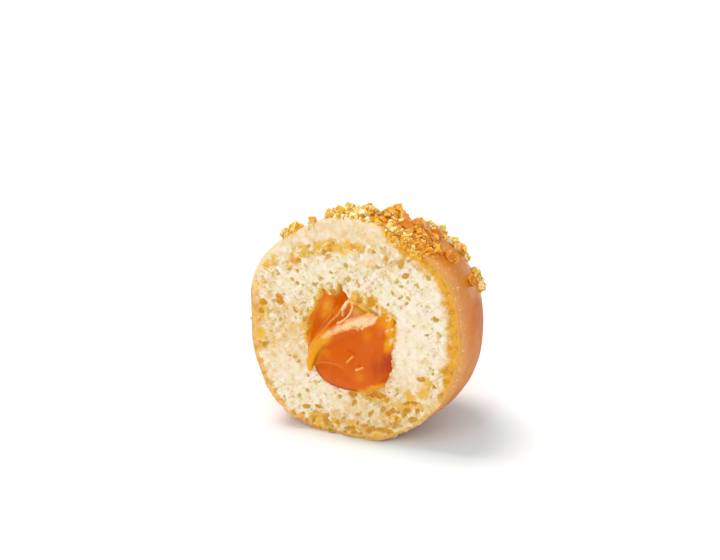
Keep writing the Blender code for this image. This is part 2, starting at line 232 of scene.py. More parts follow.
class CaramelSettings(bpy.types.PropertyGroup):
    """The filling."""

    orange: colour("Orange", "Most of the caramel", (212, 94, 2))
    # Painted shade: darker where the caramel lies deep in its hollows, beside the small highlights
    # and along its lower edge
    dark: colour("Dark", "Where it lies deep", (180, 62, 2))
    # Painted shadow: the dark lines under the lobe's lip and along the flap
    line: colour("Line", "The dark line under the lobe's lip", (150, 58, 4))
    light: colour("Light", "Thin edges and the flap", (234, 160, 16))
    # The milky fold is stretched caramel, with a painted highlight over it
    milky: colour("Milky", "The stretched fold", (244, 208, 160))
    # Painted highlights along the strands and the loop: the fainter and the brightest
    faint_gleam: colour("Strand", "The fainter strands", (240, 160, 60))
    gleam: colour("Gleam", "The brightest strands", (255, 226, 184))
    fineness: measure("Fineness", "The steps that the caramel's surface is made of", 0.000116)


class SugarSettings(bpy.types.PropertyGroup):
    """The coarse sugar on top."""

    burnt: colour("Burnt", "The darkest facets", (212, 124, 14))
    amber: colour("Amber", "Facets with syrup behind them", (232, 148, 14))
    gold: colour("Gold", "Most of the facets", (246, 176, 22))
    clear: colour("Clear", "The palest facets", (255, 206, 84))
    glint: colour("Glint", "The worn edges that catch the light", (255, 238, 192))
    small_grains: IntProperty(name="Small grains", description="Finer grains", default=230, min=0)
    seed: IntProperty(name="Seed", description="Places the finer grains", default=21)


class StageSettings(bpy.types.PropertyGroup):
    """The camera, the floor and the light."""

    azimuth: angle("Azimuth", "How far the camera stands round to the right of the cut", 27.0)
    elevation: angle("Elevation", "How far above the table the camera looks from", 18.0)
    distance: measure("Distance", "From the camera to the form's middle", 0.50)
    window: measure("Window", "Width of the view at the form's middle", 0.120)
    aside: measure("Aside", "How far right of the form's middle the view centres", 0.0002)
    above: measure("Above", "How far above the form's middle the view centres", 0.0080)
    key: power("Key", "The large light above", 12.0)
    front: power("Front", "The light in front", 4.7)
    side: power("Side", "The light on the right", 1.75)
    spark: power("Spark", "The small light that makes glints", 0.25)
    sky: FloatProperty(name="Sky", description="Strength of the white all round", default=0.52)


def smooth_step(low, high, value):
    share = np.clip((np.asarray(value, float) - low) / (high - low), 0.0, 1.0)
    return share * share * (3 - 2 * share)


def bell(distance):
    return np.exp(-np.square(distance))


def form_points(directions):
    """Where rays along unit directions leave the whole doughnut hole, in the form's frame."""
    x, y, z = np.moveaxis(np.asarray(directions, float), -1, 0)
    level = np.hypot(x / HALF_WIDTH, y / HALF_DEPTH)
    upright = np.abs(z) / HALF_HEIGHT
    fullness = np.where(z > 0, TOP_FULLNESS, BASE_FULLNESS)
    reach = (level**fullness + upright**fullness) ** (-1 / fullness)
    around = np.arctan2(z, x)
    lumps = (x * x + z * z) * sum(
        share * np.cos(waves * around - math.radians(turn)) for waves, share, turn in UNEVEN_ROUND
    )
    lumps = lumps + y * y * UNEVEN_BACK * (
        np.sin(4.3 * y - 2.2 * x + 1.1) + 0.7 * np.sin(5.2 * z + 3.1 * y + 2.0)
    )
    return np.asarray(directions) * (reach * (1 + lumps))[..., None]


def cut_wave(across, up):
    """How far the wavy cut strays from its plane."""
    x, z = across * 1000, up * 1000
    return CUT_WAVE * (
        np.sin(0.33 * x + 0.21 * z + 0.5)
        + 0.7 * np.sin(0.52 * z - 0.30 * x + 2.1)
        + 0.4 * np.sin(0.95 * x + 0.80 * z)
    )


def to_table(points):
    """Form-frame points in the table's frame, with nothing below the table."""
    matrix = np.array(LEANT)
    moved = np.asarray(points) @ matrix[:3, :3].T + matrix[:3, 3]
    moved[..., 2] = np.maximum(moved[..., 2], 0.0)
    return moved


def ripple(points, wavelength, seed):
    """A smooth unevenness of about 1 either way over points in metres, from a few waves."""
    draw = np.random.default_rng(seed)
    total = np.zeros(np.shape(points)[:-1])
    for _ in range(9):
        heading = draw.normal(size=3)
        heading *= draw.uniform(0.6, 1.6) * 2 * math.pi / wavelength / np.linalg.norm(heading)
        total += np.sin(points @ heading + draw.uniform(0, 2 * math.pi))
    return total / 3


def line_distance(across, up, points):
    """The distance from places on the face to a line through points."""
    nearest = np.full(np.shape(across), np.inf)
    for (x0, z0), (x1, z1) in zip(points, points[1:]):
        run_x, run_z = x1 - x0, z1 - z0
        share = ((across - x0) * run_x + (up - z0) * run_z) / (run_x**2 + run_z**2)
        share = np.clip(share, 0.0, 1.0)
        off = np.hypot(across - x0 - share * run_x, up - z0 - share * run_z)
        nearest = np.minimum(nearest, off)
    return nearest


def face_places(across, up):
    """Places on the cut face as points, for ripples over them."""
    return np.stack([across, np.zeros_like(across), up], -1)


def filling_radius(angles):
    """The caramel's outline at angles in radians, joined smoothly between its points."""
    first, last = FILLING_OUTLINE[0], FILLING_OUTLINE[-1]
    points = ((last[0] - 360, last[1]),) + FILLING_OUTLINE + ((first[0] + 360, first[1]),)
    degrees = np.degrees(angles) % 360
    radius = np.zeros_like(degrees)
    for (start, near), (end, far) in zip(points, points[1:]):
        here = (degrees >= start) & (degrees <= end)
        between = near + (far - near) * smooth_step(start, end, degrees)
        radius = np.where(here, between, radius)
    return radius


def filling_front(across, up):
    """How far the caramel stands out of the cut face at places on it, as the solid has it."""
    above_fold = smooth_step(-0.0045, 0.0055, up - 0.55 * across)
    hollow = SHEET_RECESS * (1 - SHEET_RISE * (1 - smooth_step(*SHEET_EDGE, across)))
    stand = LOBE_BULGE - (LOBE_BULGE + hollow) * above_fold
    for (middle, height), reach, swell in SWELLS:
        off = np.hypot((across - middle) / reach[0], (up - height) / reach[1])
        stand = stand + swell * bell(off)
    stand = stand + FOLD_HEIGHT * bell(line_distance(across, up, FOLD_LINE) / FOLD_WIDTH)
    sheet_fold = line_distance(across, up, SHEET_FOLD_LINE) / SHEET_FOLD_WIDTH
    stand = stand + SHEET_FOLD_HEIGHT * bell(sheet_fold)
    return stand - CREASE_DEPTH * bell(line_distance(across, up, CREASE_LINE) / CREASE_WIDTH)


def mesh_object(name, points, faces, smooth=True):
    """A mesh object at the origin from points in the table's frame."""
    mesh = bpy.data.meshes.new(name)
    mesh.from_pydata(np.asarray(points).tolist(), [], faces)
    mesh.validate()
    if smooth:
        mesh.shade_smooth()
    made = bpy.data.objects.new(name, mesh)
    bpy.context.scene.collection.objects.link(made)
    return made


def ring_faces(rings, segments, close=False):
    """Quads over rings of points; close joins the last ring to the first."""
    ring = np.arange(rings if close else rings - 1)[:, None]
    step = np.arange(segments)[None, :]
    after = (ring + 1) % rings
    beside = (step + 1) % segments
    corners = (
        ring * segments + step,
        ring * segments + beside,
        after * segments + beside,
        after * segments + step,
    )
    wide = [np.broadcast_to(corner, (len(ring), segments)) for corner in corners]
    return np.stack(wide, -1).reshape(-1, 4).tolist()


def capped(rings):
    """The points and faces of a closed form over rings, with a point in the middle of each end."""
    count, segments = rings.shape[:2]
    points = np.concatenate([rings.reshape(-1, 3), rings[:1].mean(1), rings[-1:].mean(1)])
    faces = ring_faces(count, segments)
    for ring, middle in ((0, len(points) - 2), (count - 1, len(points) - 1)):
        first = ring * segments
        for step in range(segments):
            faces.append((first + step, first + (step + 1) % segments, middle))
    return points, faces


def face_outwards(mesh, *joined):
    """Takes other meshes into a mesh, and turns its faces outwards."""
    shape = bmesh.new()
    for part in (mesh, *joined):
        shape.from_mesh(part)
    bmesh.ops.recalc_face_normals(shape, faces=list(shape.faces))
    shape.to_mesh(mesh)
    shape.free()


def set_values(piece, name, values):
    """A float attribute over the piece's points."""
    attribute = piece.data.attributes.new(name, "FLOAT", "POINT")
    attribute.data.foreach_set("value", np.asarray(values, np.float32).ravel())


def finish_piece(piece, material, slot, *nodes):
    piece.data.materials.clear()
    piece.data.materials.append(material)
    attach(piece, "root")
    if nodes:
        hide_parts(*nodes)


class Value:
    """A shader socket that takes part in Python arithmetic."""

    def __init__(self, paint, socket):
        self.paint = paint
        self.socket = socket

    def __add__(self, other):
        return self.paint.maths("ADD", self, other)

    def __sub__(self, other):
        return self.paint.maths("SUBTRACT", self, other)

    def __rsub__(self, other):
        return self.paint.maths("SUBTRACT", other, self)

    def __mul__(self, other):
        return self.paint.maths("MULTIPLY", self, other)

    __radd__ = __add__
    __rmul__ = __mul__


class Paint:
    """One material, the nodes that it is made of, and the colour laid so far."""

    def __init__(self, name):
        self.material = bpy.data.materials.new(name)
        self.material.use_nodes = True
        self.tree = self.material.node_tree
        self.shader = self.tree.nodes["Principled BSDF"]
        self.colour = None

    def node(self, kind, settings=None, inputs=None, output=0):
        """Adds a node, its settings first, and gives one of its outputs."""
        made = self.tree.nodes.new(kind)
        for name, value in (settings or {}).items():
            if name == "stops":
                self.set_stops(made.color_ramp, value)
            else:
                setattr(made, name, value)
        for name, value in (inputs or {}).items():
            self.feed(made.inputs[name], value)
        return Value(self, made.outputs[output])

    def feed(self, socket, value):
        """Links or sets one input."""
        if isinstance(value, Value):
            self.tree.links.new(value.socket, socket)
        elif socket.type == "RGBA":
            socket.default_value = (*value, 1.0)
        else:
            socket.default_value = value

    def set_stops(self, ramp, stops):
        """Gives a colour ramp its places and colours."""
        while len(ramp.elements) < len(stops):
            ramp.elements.new(1.0)
        for element, (place, shade) in zip(ramp.elements, stops):
            element.position = place
            element.color = (*shade, 1.0)

    def maths(self, operation, first, second):
        return self.node("ShaderNodeMath", {"operation": operation}, {0: first, 1: second})

    def within(self, value, low, high):
        """0 below low and 1 above high, smoothly; low may be the larger."""
        settings = {"interpolation_type": "SMOOTHSTEP"}
        inputs = {"Value": value, "From Min": low, "From Max": high}
        return self.node("ShaderNodeMapRange", settings, inputs)

    def mix(self, share, first, second):
        inputs = {0: share, 6: first, 7: second}
        return self.node("ShaderNodeMix", {"data_type": "RGBA"}, inputs, 2)

    def lay(self, shade, share=None):
        """Lays a colour over those before it, as thickly as the share says."""
        self.colour = shade if share is None else self.mix(share, self.colour, shade)

    def attribute(self, name):
        return self.node("ShaderNodeAttribute", {"attribute_name": name}, output=2)

    def place(self, stretch=(1.0, 1.0, 1.0), turn=(0.0, 0.0, 0.0)):
        """Object coordinates in millimetres, turned and then stretched."""
        own = self.node("ShaderNodeTexCoord", output=3)
        size = tuple(1000 * share for share in stretch)
        inputs = {"Vector": own, "Rotation": turn, "Scale": size}
        return self.node("ShaderNodeMapping", {}, inputs)

    def noise(self, scale, detail=3.0, roughness=0.55, distortion=0.0, **placed):
        """Noise with its scale in millimetres, stretched or turned as place says."""
        inputs = {
            "Vector": self.place(**placed),
            "Scale": scale,
            "Detail": detail,
            "Roughness": roughness,
            "Distortion": distortion,
        }
        return self.node("ShaderNodeTexNoise", {}, inputs)

    def bump(self, height, distance, strength):
        inputs = {"Height": height, "Distance": distance, "Strength": strength}
        return self.node("ShaderNodeBump", {}, inputs)

    def finish(self, **inputs):
        """Gives the shader its colour and its other inputs, named with underscores for spaces."""
        for name, value in {"Base_Color": self.colour, **inputs}.items():
            self.feed(self.shader.inputs[name.replace("_", " ")], value)
        return self.material


def crumb_material(settings):
    paint = Paint("crumb")
    names = ("pit", "gold", "crust", "warm", "lump", "golden", "calm", "outside")
    pit, gold, crust, warm, lump, golden, calm, outside = map(paint.attribute, names)
    fine = paint.noise(2.2, 2.0, 0.5)
    soft = paint.noise(0.50, 2.0, 0.5, turn=(0.7, 0.3, 1.1))
    other = paint.noise(0.42, 2.0, 0.5, turn=(0.2, 0.9, 0.4))
    blotch = paint.noise(0.85, turn=(0.5, 0.1, 0.8))
    paint.lay(settings.pale)
    paint.lay(settings.cream, paint.within(soft, 0.44, 0.60))
    paint.lay(settings.rosy, paint.within(other, 0.52, 0.66) * 0.8)
    # Sunken crumb is painted warmer and more golden and raised crumb paler: painted shade and light
    # that follow the relief, here and in the layers below
    mottled = warm * 0.9 + (blotch - 0.5) * (2.2 - calm * 0.6) - lump * 0.10 - 0.16
    paint.lay(settings.warm, paint.within(mottled, 0.0, 1.0))
    fat = gold * 1.1 + (fine - 0.5) * 0.5 + (blotch - 0.5) * 1.1 - lump * 0.10
    paint.lay(settings.golden, paint.within(fat, 0.25, 0.85))
    paint.lay(settings.soaked, paint.within(fat, 1.2, 1.8))
    # Painted highlight on the raised crumb
    raised = paint.within(lump + (fine - 0.5) * 1.6, 0.45, 1.45)
    paint.lay(settings.bright, raised * (0.6 - calm * 0.3))
    # Painted shade: the deeper a cell or pit, the darker it is painted, over the golden colour of
    # the pits themselves
    cells = paint.within(pit - lump * 0.05 + (fine - 0.5) * 0.14, 0.05, 0.20)
    paint.lay(settings.shaded, cells * 0.85)
    bottoms = paint.within(pit + (fine - 0.5) * 0.1, 0.14, 0.34)
    hollow = paint.mix(paint.within(gold, 0.15, 0.5), settings.deep, settings.fatty)
    paint.lay(hollow, bottoms * (1.3 - fine * 0.6))
    fried = paint.mix(golden, settings.pale_crust, settings.crust)
    fried = paint.mix(paint.within(blotch, 0.46, 0.60) * golden, fried, settings.browned)
    scraps = paint.within(fine + lump * 0.08, 0.56, 0.70) * 0.30
    fried = paint.mix(scraps, fried, settings.pale_crust)
    worn = crust + (fine - 0.5) * 0.8 + (blotch - 0.5) * 1.0 - lump * 0.12
    paint.lay(fried, paint.within(worn, -0.05, 0.75))
    paint.lay(settings.outer, paint.within(outside + (fine - 0.5) * 1.8, 0.25, 1.0))
    return paint.finish(
        Roughness=0.7,
        Subsurface_Weight=0.35,
        Subsurface_Radius=(1.0, 0.66, 0.34),
        Subsurface_Scale=0.0003,
        Specular_IOR_Level=0.2,
        Normal=paint.bump(fine, 0.00014, 0.9 - calm * 0.4),
    )


# The larger pits: across and up of the middle, half-length and half-breadth, all in millimetres,
# and how far the length is turned from level in degrees
PITS = (
    (8.5, 12.7, 0.65, 0.65, 0), (9.5, 10.8, 0.55, 0.45, 60), (13.4, 11.1, 0.62, 0.36, -60),
    (11.4, 9.6, 0.45, 0.26, -70), (8.1, 9.6, 0.36, 0.28, 0), (8.8, 9.0, 0.32, 0.26, 0),
    (7.4, 7.7, 0.60, 0.30, -65), (8.4, 6.9, 0.32, 0.26, 0), (6.5, 5.6, 0.42, 0.34, 20),
    (3.2, 5.4, 0.95, 0.70, 70), (0.9, 6.3, 0.60, 0.28, -70), (0.5, 8.4, 0.34, 0.30, 0),
    (-1.8, 8.5, 0.36, 0.30, 0), (4.2, 11.5, 0.46, 0.30, 0), (5.9, 13.2, 0.44, 0.34, 20),
    (3.4, 14.1, 0.46, 0.34, 20), (9.8, 6.2, 0.36, 0.32, 0), (15.2, 4.3, 0.52, 0.40, -40),
    (11.4, 2.6, 0.38, 0.22, 0), (15.9, 2.1, 0.30, 0.22, 60), (13.9, 1.4, 0.34, 0.30, 0),
    (-14.0, 3.2, 0.95, 0.75, -60), (-10.7, 2.1, 0.75, 0.42, -50), (-10.5, 8.9, 0.42, 0.36, 0),
    (-11.9, 9.1, 0.34, 0.30, 0), (-13.8, 8.0, 0.32, 0.26, 0), (-14.4, 10.1, 0.34, 0.26, 0),
    (-11.5, 7.3, 0.50, 0.24, -60), (-10.6, 6.8, 0.46, 0.36, 0), (-7.2, 7.1, 0.50, 0.36, 30),
    (-6.2, 8.0, 0.55, 0.26, 40), (-4.4, 9.3, 0.42, 0.30, 0), (-16.1, 1.3, 0.36, 0.26, 0),
    (-8.8, 13.2, 0.34, 0.28, 0), (-9.3, 1.9, 0.62, 0.26, 80), (-8.3, 2.5, 0.70, 0.26, 80),
    (-13.5, -0.1, 0.48, 0.28, 80), (-10.0, -6.8, 0.40, 0.32, 0), (-8.2, -9.0, 0.34, 0.28, 0),
    (-5.8, -9.6, 0.44, 0.20, 40), (-8.1, -11.6, 0.36, 0.30, 0), (-9.4, -12.6, 0.36, 0.28, 60),
    (-4.8, -11.6, 0.50, 0.26, -20), (-1.9, -11.6, 0.42, 0.30, 30), (3.3, -10.6, 0.34, 0.28, 0),
    (5.2, -10.6, 0.65, 0.45, -20), (8.3, -9.7, 0.65, 0.26, 45), (10.4, -10.8, 0.85, 0.38, 35),
    (7.7, -12.7, 1.15, 0.42, 30), (6.1, -12.6, 0.70, 0.34, 80), (9.0, -13.6, 0.55, 0.30, 70),
    (10.3, -12.9, 0.45, 0.30, 50), (6.9, -15.9, 1.90, 0.42, -3), (0.8, -16.5, 1.00, 0.36, 5),
    (-0.5, -17.5, 0.55, 0.34, -20), (3.4, -17.7, 1.50, 0.26, 5), (3.4, -15.6, 0.85, 0.26, 15),
    (9.6, -14.7, 0.80, 0.24, 20), (12.6, -11.7, 0.55, 0.40, 40), (-6.7, -16.4, 0.85, 0.34, 70),
    (-4.4, -16.2, 1.10, 0.60, -40), (-1.0, -15.2, 0.50, 0.30, 20),
)

# How deep a pit is for its half-breadth, and the most that it may be in metres
PIT_DEPTH = 1.3
PIT_DEEPEST = 0.0006

# How many places are tried for the small pits of the golden crumb
FATTY_TRIES = 2600

# Golden crumb, as ovals like the pits, and how strong it is
GOLDEN_OVALS = (
    (-11.3, 10.4, 1.5, 1.1, 70, 1.25), (-10.0, 12.2, 1.7, 1.1, 40, 1.25),
    (-8.4, 12.2, 1.0, 0.8, 0, 1.1), (-6.4, 13.3, 1.4, 1.2, -10, 1.25),
    (-3.8, 14.0, 2.6, 1.2, -5, 1.25), (-0.5, 14.4, 2.3, 1.0, 0, 1.15),
    (2.2, 14.7, 1.8, 0.8, 0, 0.9), (3.2, 5.6, 1.5, 1.2, 60, 1.0), (0.7, 5.3, 1.5, 1.2, 90, 1.6),
    (2.6, 4.2, 1.6, 0.8, -30, 1.3), (5.2, 4.4, 2.0, 0.7, -20, 1.0), (7.3, 3.4, 0.9, 0.8, 0, 0.9),
    (-4.2, 6.2, 0.9, 0.8, 0, 1.2), (-9.0, -0.3, 0.8, 1.2, 10, 0.9),
    (5.0, -10.6, 1.8, 0.9, -10, 1.1), (0.8, -10.6, 2.4, 0.6, 0, 0.8),
    (8.8, -12.6, 3.8, 1.9, 35, 0.75), (11.8, -10.0, 3.0, 2.0, 45, 0.9),
    (14.8, -6.5, 1.8, 2.4, 0, 0.75), (14.0, 9.0, 1.0, 0.6, -60, 0.3),
    (-14.0, 3.2, 1.3, 1.0, -60, 0.5), (-16.0, 9.0, 1.8, 1.0, 60, 1.1),
    (-14.9, 10.6, 1.2, 0.6, 50, 0.8), (-17.6, 5.6, 0.9, 1.6, -20, 0.8),
    (-17.6, 1.0, 1.1, 2.2, 0, 0.9), (-17.2, -3.5, 1.4, 2.6, 15, 0.9),
    (-14.5, -4.0, 1.6, 2.2, 20, 0.4), (-10.3, 2.0, 1.2, 0.7, -50, 0.35),
    (-6.0, -16.0, 3.0, 1.6, -20, 0.8), (9.5, 15.4, 3.4, 1.6, -28, 1.2),
)

# Smooth crumb with hardly a pore, as ovals like the pits, and how smooth it is
CALM_OVALS = (
    (-17.0, 1.8, 1.4, 1.4, 0, 0.7), (-11.6, 1.4, 2.2, 0.8, 85, 1.0),
    (-11.0, -1.6, 1.6, 1.2, 60, 1.0), (-12.2, -8.4, 2.8, 1.5, 0, 1.0),
    (-8.4, -11.6, 2.4, 1.2, -20, 0.8), (-0.4, -12.8, 3.4, 1.5, -8, 1.0),
    (4.2, -13.4, 1.8, 0.9, 0, 0.8), (10.8, 0.4, 3.6, 4.6, 0, 1.0), (11.2, -6.0, 2.8, 3.4, 0, 1.0),
    (9.4, -10.4, 1.8, 1.2, 20, 0.8), (6.4, 7.4, 2.4, 1.6, 0, 0.5), (-6.0, 15.6, 6.5, 1.0, 5, 0.55),
    (2.5, 16.6, 5.0, 1.0, -8, 0.5), (-13.6, 13.0, 3.2, 0.9, 42, 0.7),
    (-6.2, 9.6, 2.0, 1.2, 20, 0.6),
)

# How wide the cut edge of the crust is at angles round the face: degrees and millimetres
CRUST_WIDTHS = (
    (0, 1.9), (15, 1.8), (30, 1.7), (45, 1.9), (57, 2.1), (66, 1.5), (76, 0.3), (115, 0.15),
    (140, 0.3), (160, 0.6), (175, 1.2), (195, 1.3), (215, 1.2), (235, 0.9), (262, 0.7), (285, 0.6),
    (305, 0.4), (325, 0.5), (338, 1.2), (349, 2.4), (355, 1.8),
)

# How warm the crumb is at angles round the face: degrees, near the caramel and near the rim
WARMTHS = (
    (0, 0.0, 0.15), (35, 0.0, 0.15), (62, 0.3, 0.8), (90, 0.35, 0.75), (130, 0.35, 0.70),
    (155, 0.5, 0.65), (185, 1.1, 1.1), (205, 0.75, 0.75), (240, 0.15, 0.30), (270, 0.8, 0.9),
    (300, 0.9, 1.0), (325, 0.6, 1.0), (345, 0.2, 0.7),
)


def edge_gold(degrees):
    """How golden, not pale, the rim is at angles round the face."""
    turned = (degrees + 180) % 360 - 180
    right = smooth_step(-36.0, -18.0, turned) * smooth_step(82.0, 62.0, turned)
    left = smooth_step(155.0, 178.0, degrees) * smooth_step(345.0, 305.0, degrees)
    return right + 0.6 * left


def in_oval(across, up, row):
    """How far out places are in an oval on the face: 0 at its middle and 1 at its edge."""
    middle_x, middle_z, length, breadth, degrees = (float(value) for value in row[:5])
    turn = math.radians(degrees)
    x, z = across * 1000 - middle_x, up * 1000 - middle_z
    along = (x * math.cos(turn) + z * math.sin(turn)) / length
    beside = (z * math.cos(turn) - x * math.sin(turn)) / breadth
    return np.hypot(along, beside)


def golden_share(across, up):
    """How far the crumb is soaked with fat or caramel at places on the face."""
    gold = 0.55 * smooth_step(-0.0135, -0.0165, up + 0.05 * across)
    for row in GOLDEN_OVALS:
        gold = np.maximum(gold, row[5] * bell(in_oval(across, up, row)))
    return gold


def calm_share(across, up):
    """How smooth the crumb is at places on the face."""
    calm = 0.55 * smooth_step(0.0, 0.7, ripple(face_places(across, up), 0.0070, 71))
    for row in CALM_OVALS:
        calm = np.maximum(calm, row[5] * bell(0.85 * in_oval(across, up, row) ** 2))
    return calm


def fatty_pits(settings):
    """Rows like those of PITS for the small pits that crowd the golden crumb and the low side."""
    draw = np.random.default_rng(settings.seed + 5)
    across = draw.uniform(-HALF_WIDTH, HALF_WIDTH, FATTY_TRIES)
    up = draw.uniform(-HALF_HEIGHT, HALF_HEIGHT, FATTY_TRIES)
    longest = 0.75 - 0.40 * smooth_step(0.004, 0.009, up)
    length = 0.22 + longest * draw.random(FATTY_TRIES) ** 2.2
    breadth = length * draw.uniform(0.40, 0.80, FATTY_TRIES)
    degrees = 30 * draw.standard_normal(FATTY_TRIES) + 20 * smooth_step(0.003, 0.012, across)
    low = 0.9 * smooth_step(-0.0105, -0.0150, up - 0.25 * across)
    chance = 0.50 * np.maximum(golden_share(across, up), low) - 0.06
    kept = draw.random(FATTY_TRIES) < chance
    return np.stack([1000 * across, 1000 * up, length, breadth, degrees], -1)[kept]


def skin_material(settings):
    paint = Paint("glazed_skin")
    syrup, edge, golden = map(paint.attribute, ("syrup", "edge", "golden"))
    height = paint.node("ShaderNodeSeparateXYZ", {}, {0: paint.place()}, 2)
    streaks = paint.noise(0.8, 3.0, 0.5, 0.6, stretch=(0.16, 0.16, 1.0), turn=(0.05, 0.03, 0.0))
    clouds = paint.noise(0.13)
    blotches = paint.noise(0.50)
    fine = paint.noise(1.6, turn=(0.4, 0.2, 0.9))
    low = paint.within(height, 9.0, 0.0)
    back = paint.within(edge, 11.0, 22.0)
    behind = paint.within(edge, 2.0, 12.0) * (1.0 - back * 0.8)
    streaked = (streaks - 0.5) * (0.9 + back * 1.1)
    brown = low * 1.1 + behind * 1.2 + streaked + (clouds - 0.5) * 2.2
    paint.lay(settings.tan)
    paint.lay(settings.brown, paint.within(brown, 0.0, 1.25))
    milk = (clouds - 0.5) * 1.8 + (blotches - 0.5) * 0.8 + 0.30
    veil = paint.within(milk + back * 0.25 - low * back * 0.3, 0.35, 0.95)
    paint.lay(settings.milky, veil * (0.34 - behind * 0.20 + back * 0.20))
    pale = paint.within(edge + (blotches - 0.5) * 3.0, 4.5, 1.0) * (1.0 - golden * 0.7)
    paint.lay(settings.pale_rim, pale * 0.6)
    stained = paint.within(syrup + (blotches - 0.5) * 1.2 + (clouds - 0.5) * 0.8, 0.0, 0.95)
    paint.lay(settings.amber, stained * 0.95)
    flecks = paint.within(fine, 0.50, 0.62) * (0.20 + paint.within(edge, 8.0, 3.0) * 0.40)
    paint.lay(settings.golden_rim, stained * flecks)
    near_cut = paint.within(edge + (blotches - 0.5) * 4.0 + (fine - 0.5) * 2.6, 1.1, -0.1)
    beside = paint.mix(golden + (fine - 0.5) * 1.4, settings.pale_rim, settings.golden_rim)
    paint.lay(beside, near_cut * 0.9)
    scraps = paint.within(fine - edge * (0.04 - golden * 0.010), 0.55, 0.67)
    paint.lay(settings.pale_rim, scraps * 0.8)
    dimples = paint.noise(0.7, 3.0, 0.5)
    return paint.finish(
        Roughness=0.45 + (blotches - 0.5) * 0.3,
        Specular_IOR_Level=0.06,
        Coat_Weight=0.03 + stained * 0.40,
        Coat_Roughness=0.12,
        Subsurface_Weight=0.15,
        Subsurface_Radius=(1.0, 0.4, 0.15),
        Subsurface_Scale=0.0010,
        Normal=paint.bump(dimples + syrup * 0.4, 0.00018, 0.5),
    )


def caramel_material(settings):
    paint = Paint("caramel")
    names = ("deep", "thin", "fold", "gleam", "shade")
    deep, thin, fold, gleam, painted_shadow = map(paint.attribute, names)
    flow = paint.noise(0.35, 3.0, 0.5, 1.2, stretch=(1.0, 1.0, 0.5), turn=(0.0, 0.6, 0.0))
    fine = paint.noise(1.4, 2.0, 0.5, 0.8, stretch=(1.0, 1.0, 0.5), turn=(0.0, 0.9, 0.0))
    paint.lay(settings.orange)
    # Painted shade in the hollows, beside the small highlights and along the lower edge
    paint.lay(settings.dark, paint.within(deep + (flow - 0.5) * 1.2, 0.1, 1.0))
    paint.lay(settings.light, paint.within(thin + (flow - 0.5) * 0.5, 0.10, 0.95))
    # The milky fold: stretched caramel and a painted highlight together
    paint.lay(settings.milky, paint.within(fold + (fine - 0.5) * fold, 0.10, 0.95))
    # Painted highlights along the strands, the loop and the small glints
    bright = gleam + (fine - 0.5) * 0.6 * gleam
    paint.lay(settings.faint_gleam, paint.within(bright, 0.05, 0.45) * 0.8)
    paint.lay(settings.gleam, paint.within(bright, 0.25, 1.0))
    # Painted shadow under the lobe's lip and along the flap
    paint.lay(settings.line, painted_shadow * 0.8)
    return paint.finish(
        Roughness=0.24,
        Specular_IOR_Level=0.12,
        Coat_Weight=0.10,
        Coat_Roughness=0.04,
        Subsurface_Weight=0.2,
        Subsurface_Radius=(1.0, 0.30, 0.03),
        Subsurface_Scale=0.0009,
        Normal=paint.bump(paint.noise(0.8), 0.00010, 0.4),
    )


def sugar_material(settings):
    paint = Paint("amber_sugar")
    tone, facet = paint.attribute("tone"), paint.attribute("facet")
    cloud = paint.noise(1.6, 2.0)
    shades = (settings.burnt, settings.amber, settings.gold, settings.clear, settings.glint)
    stops = tuple(zip((0.02, 0.28, 0.54, 0.80, 1.00), shades))
    # Random tones per facet paint some facets pale as sparkle: the crystals' uneven colour and
    # painted highlights together
    given = {"Fac": tone * 0.55 + facet * 0.62 + (cloud - 0.5) * 0.6 - 0.07}
    paint.lay(paint.node("ShaderNodeValToRGB", {"stops": stops}, given))
    # Painted glints on the bevelled edges
    worn = paint.attribute("worn") * paint.within(facet, 0.50, 0.80)
    paint.lay(settings.glint, worn * (0.35 + tone * 0.35))
    return paint.finish(
        Roughness=0.2,
        Specular_IOR_Level=0.2,
        Subsurface_Weight=0.6,
        Subsurface_Radius=(1.0, 0.85, 0.5),
        Subsurface_Scale=0.0004,
        Coat_Weight=0.4,
        Coat_Roughness=0.05,
        Normal=paint.bump(paint.noise(3.0, 2.0), 0.00007, 0.5),
    )


def flake_material(settings):
    paint = Paint("fried_flakes")
    paint.lay(settings.golden)
    paint.lay(settings.deep, paint.within(paint.noise(0.9), 0.35, 0.65))
    return paint.finish(Roughness=0.6, Subsurface_Weight=0.2)


def face_outline(count):
    """Across, ahead and up of the rim where the cut meets the skin, at even angles."""
    angles = np.arange(count) * 2 * math.pi / count
    radius = np.full(count, HALF_HEIGHT)
    for _ in range(8):
        across, up = radius * np.cos(angles), radius * np.sin(angles)
        ahead = cut_wave(across, up) - CUT_AHEAD
        rays = np.stack([across, ahead, up], -1)
        length = np.linalg.norm(rays, axis=-1)
        skin = np.linalg.norm(form_points(rays / length[:, None]), axis=-1)
        radius = radius * skin / length
    return np.stack([radius * np.cos(angles), ahead, radius * np.sin(angles)], -1)


def on_table(points):
    """Form-frame points with those under the table raised onto it, still in the form's frame."""
    lift = to_table(points)
    matrix = np.array(LEANT.inverted())
    return lift @ matrix[:3, :3].T + matrix[:3, 3]


# The grid of the pore map, in metres
MAP_STEP = 0.00010
MAP_HALF = 0.0215

# The crumb's rings, and how far the wall of the caramel's hole reaches behind the cut
CRUMB_SEGMENTS = 960
CRUMB_RINGS = 92
CAVITY_DEPTH = 0.0050

# The rings behind the rim: how far behind the cut, and how far in towards the middle
BEHIND_RIM = ((0.0010, 0.985), (0.0040, 0.95))

# How far outside the solid caramel's outline the crumb begins and the caramel ends, so that
# they overlap
CRUMB_PAST_CARAMEL = 0.0001
CARAMEL_PAST_SOLID = 0.0003

# How many places of the rim are worked out, and the rough radius of the rim and of the caramel
# for the ripples round them
RIM_STEPS = 1440
RIM_RADIUS = 0.019
CARAMEL_RADIUS = 0.008

# The middling pores, and how large these and the fine ones are
MIDDLING_PORES = 1500
MIDDLING_RADII = (0.00016, 0.00042)
FINE_RADII = (0.00011, 0.00025)


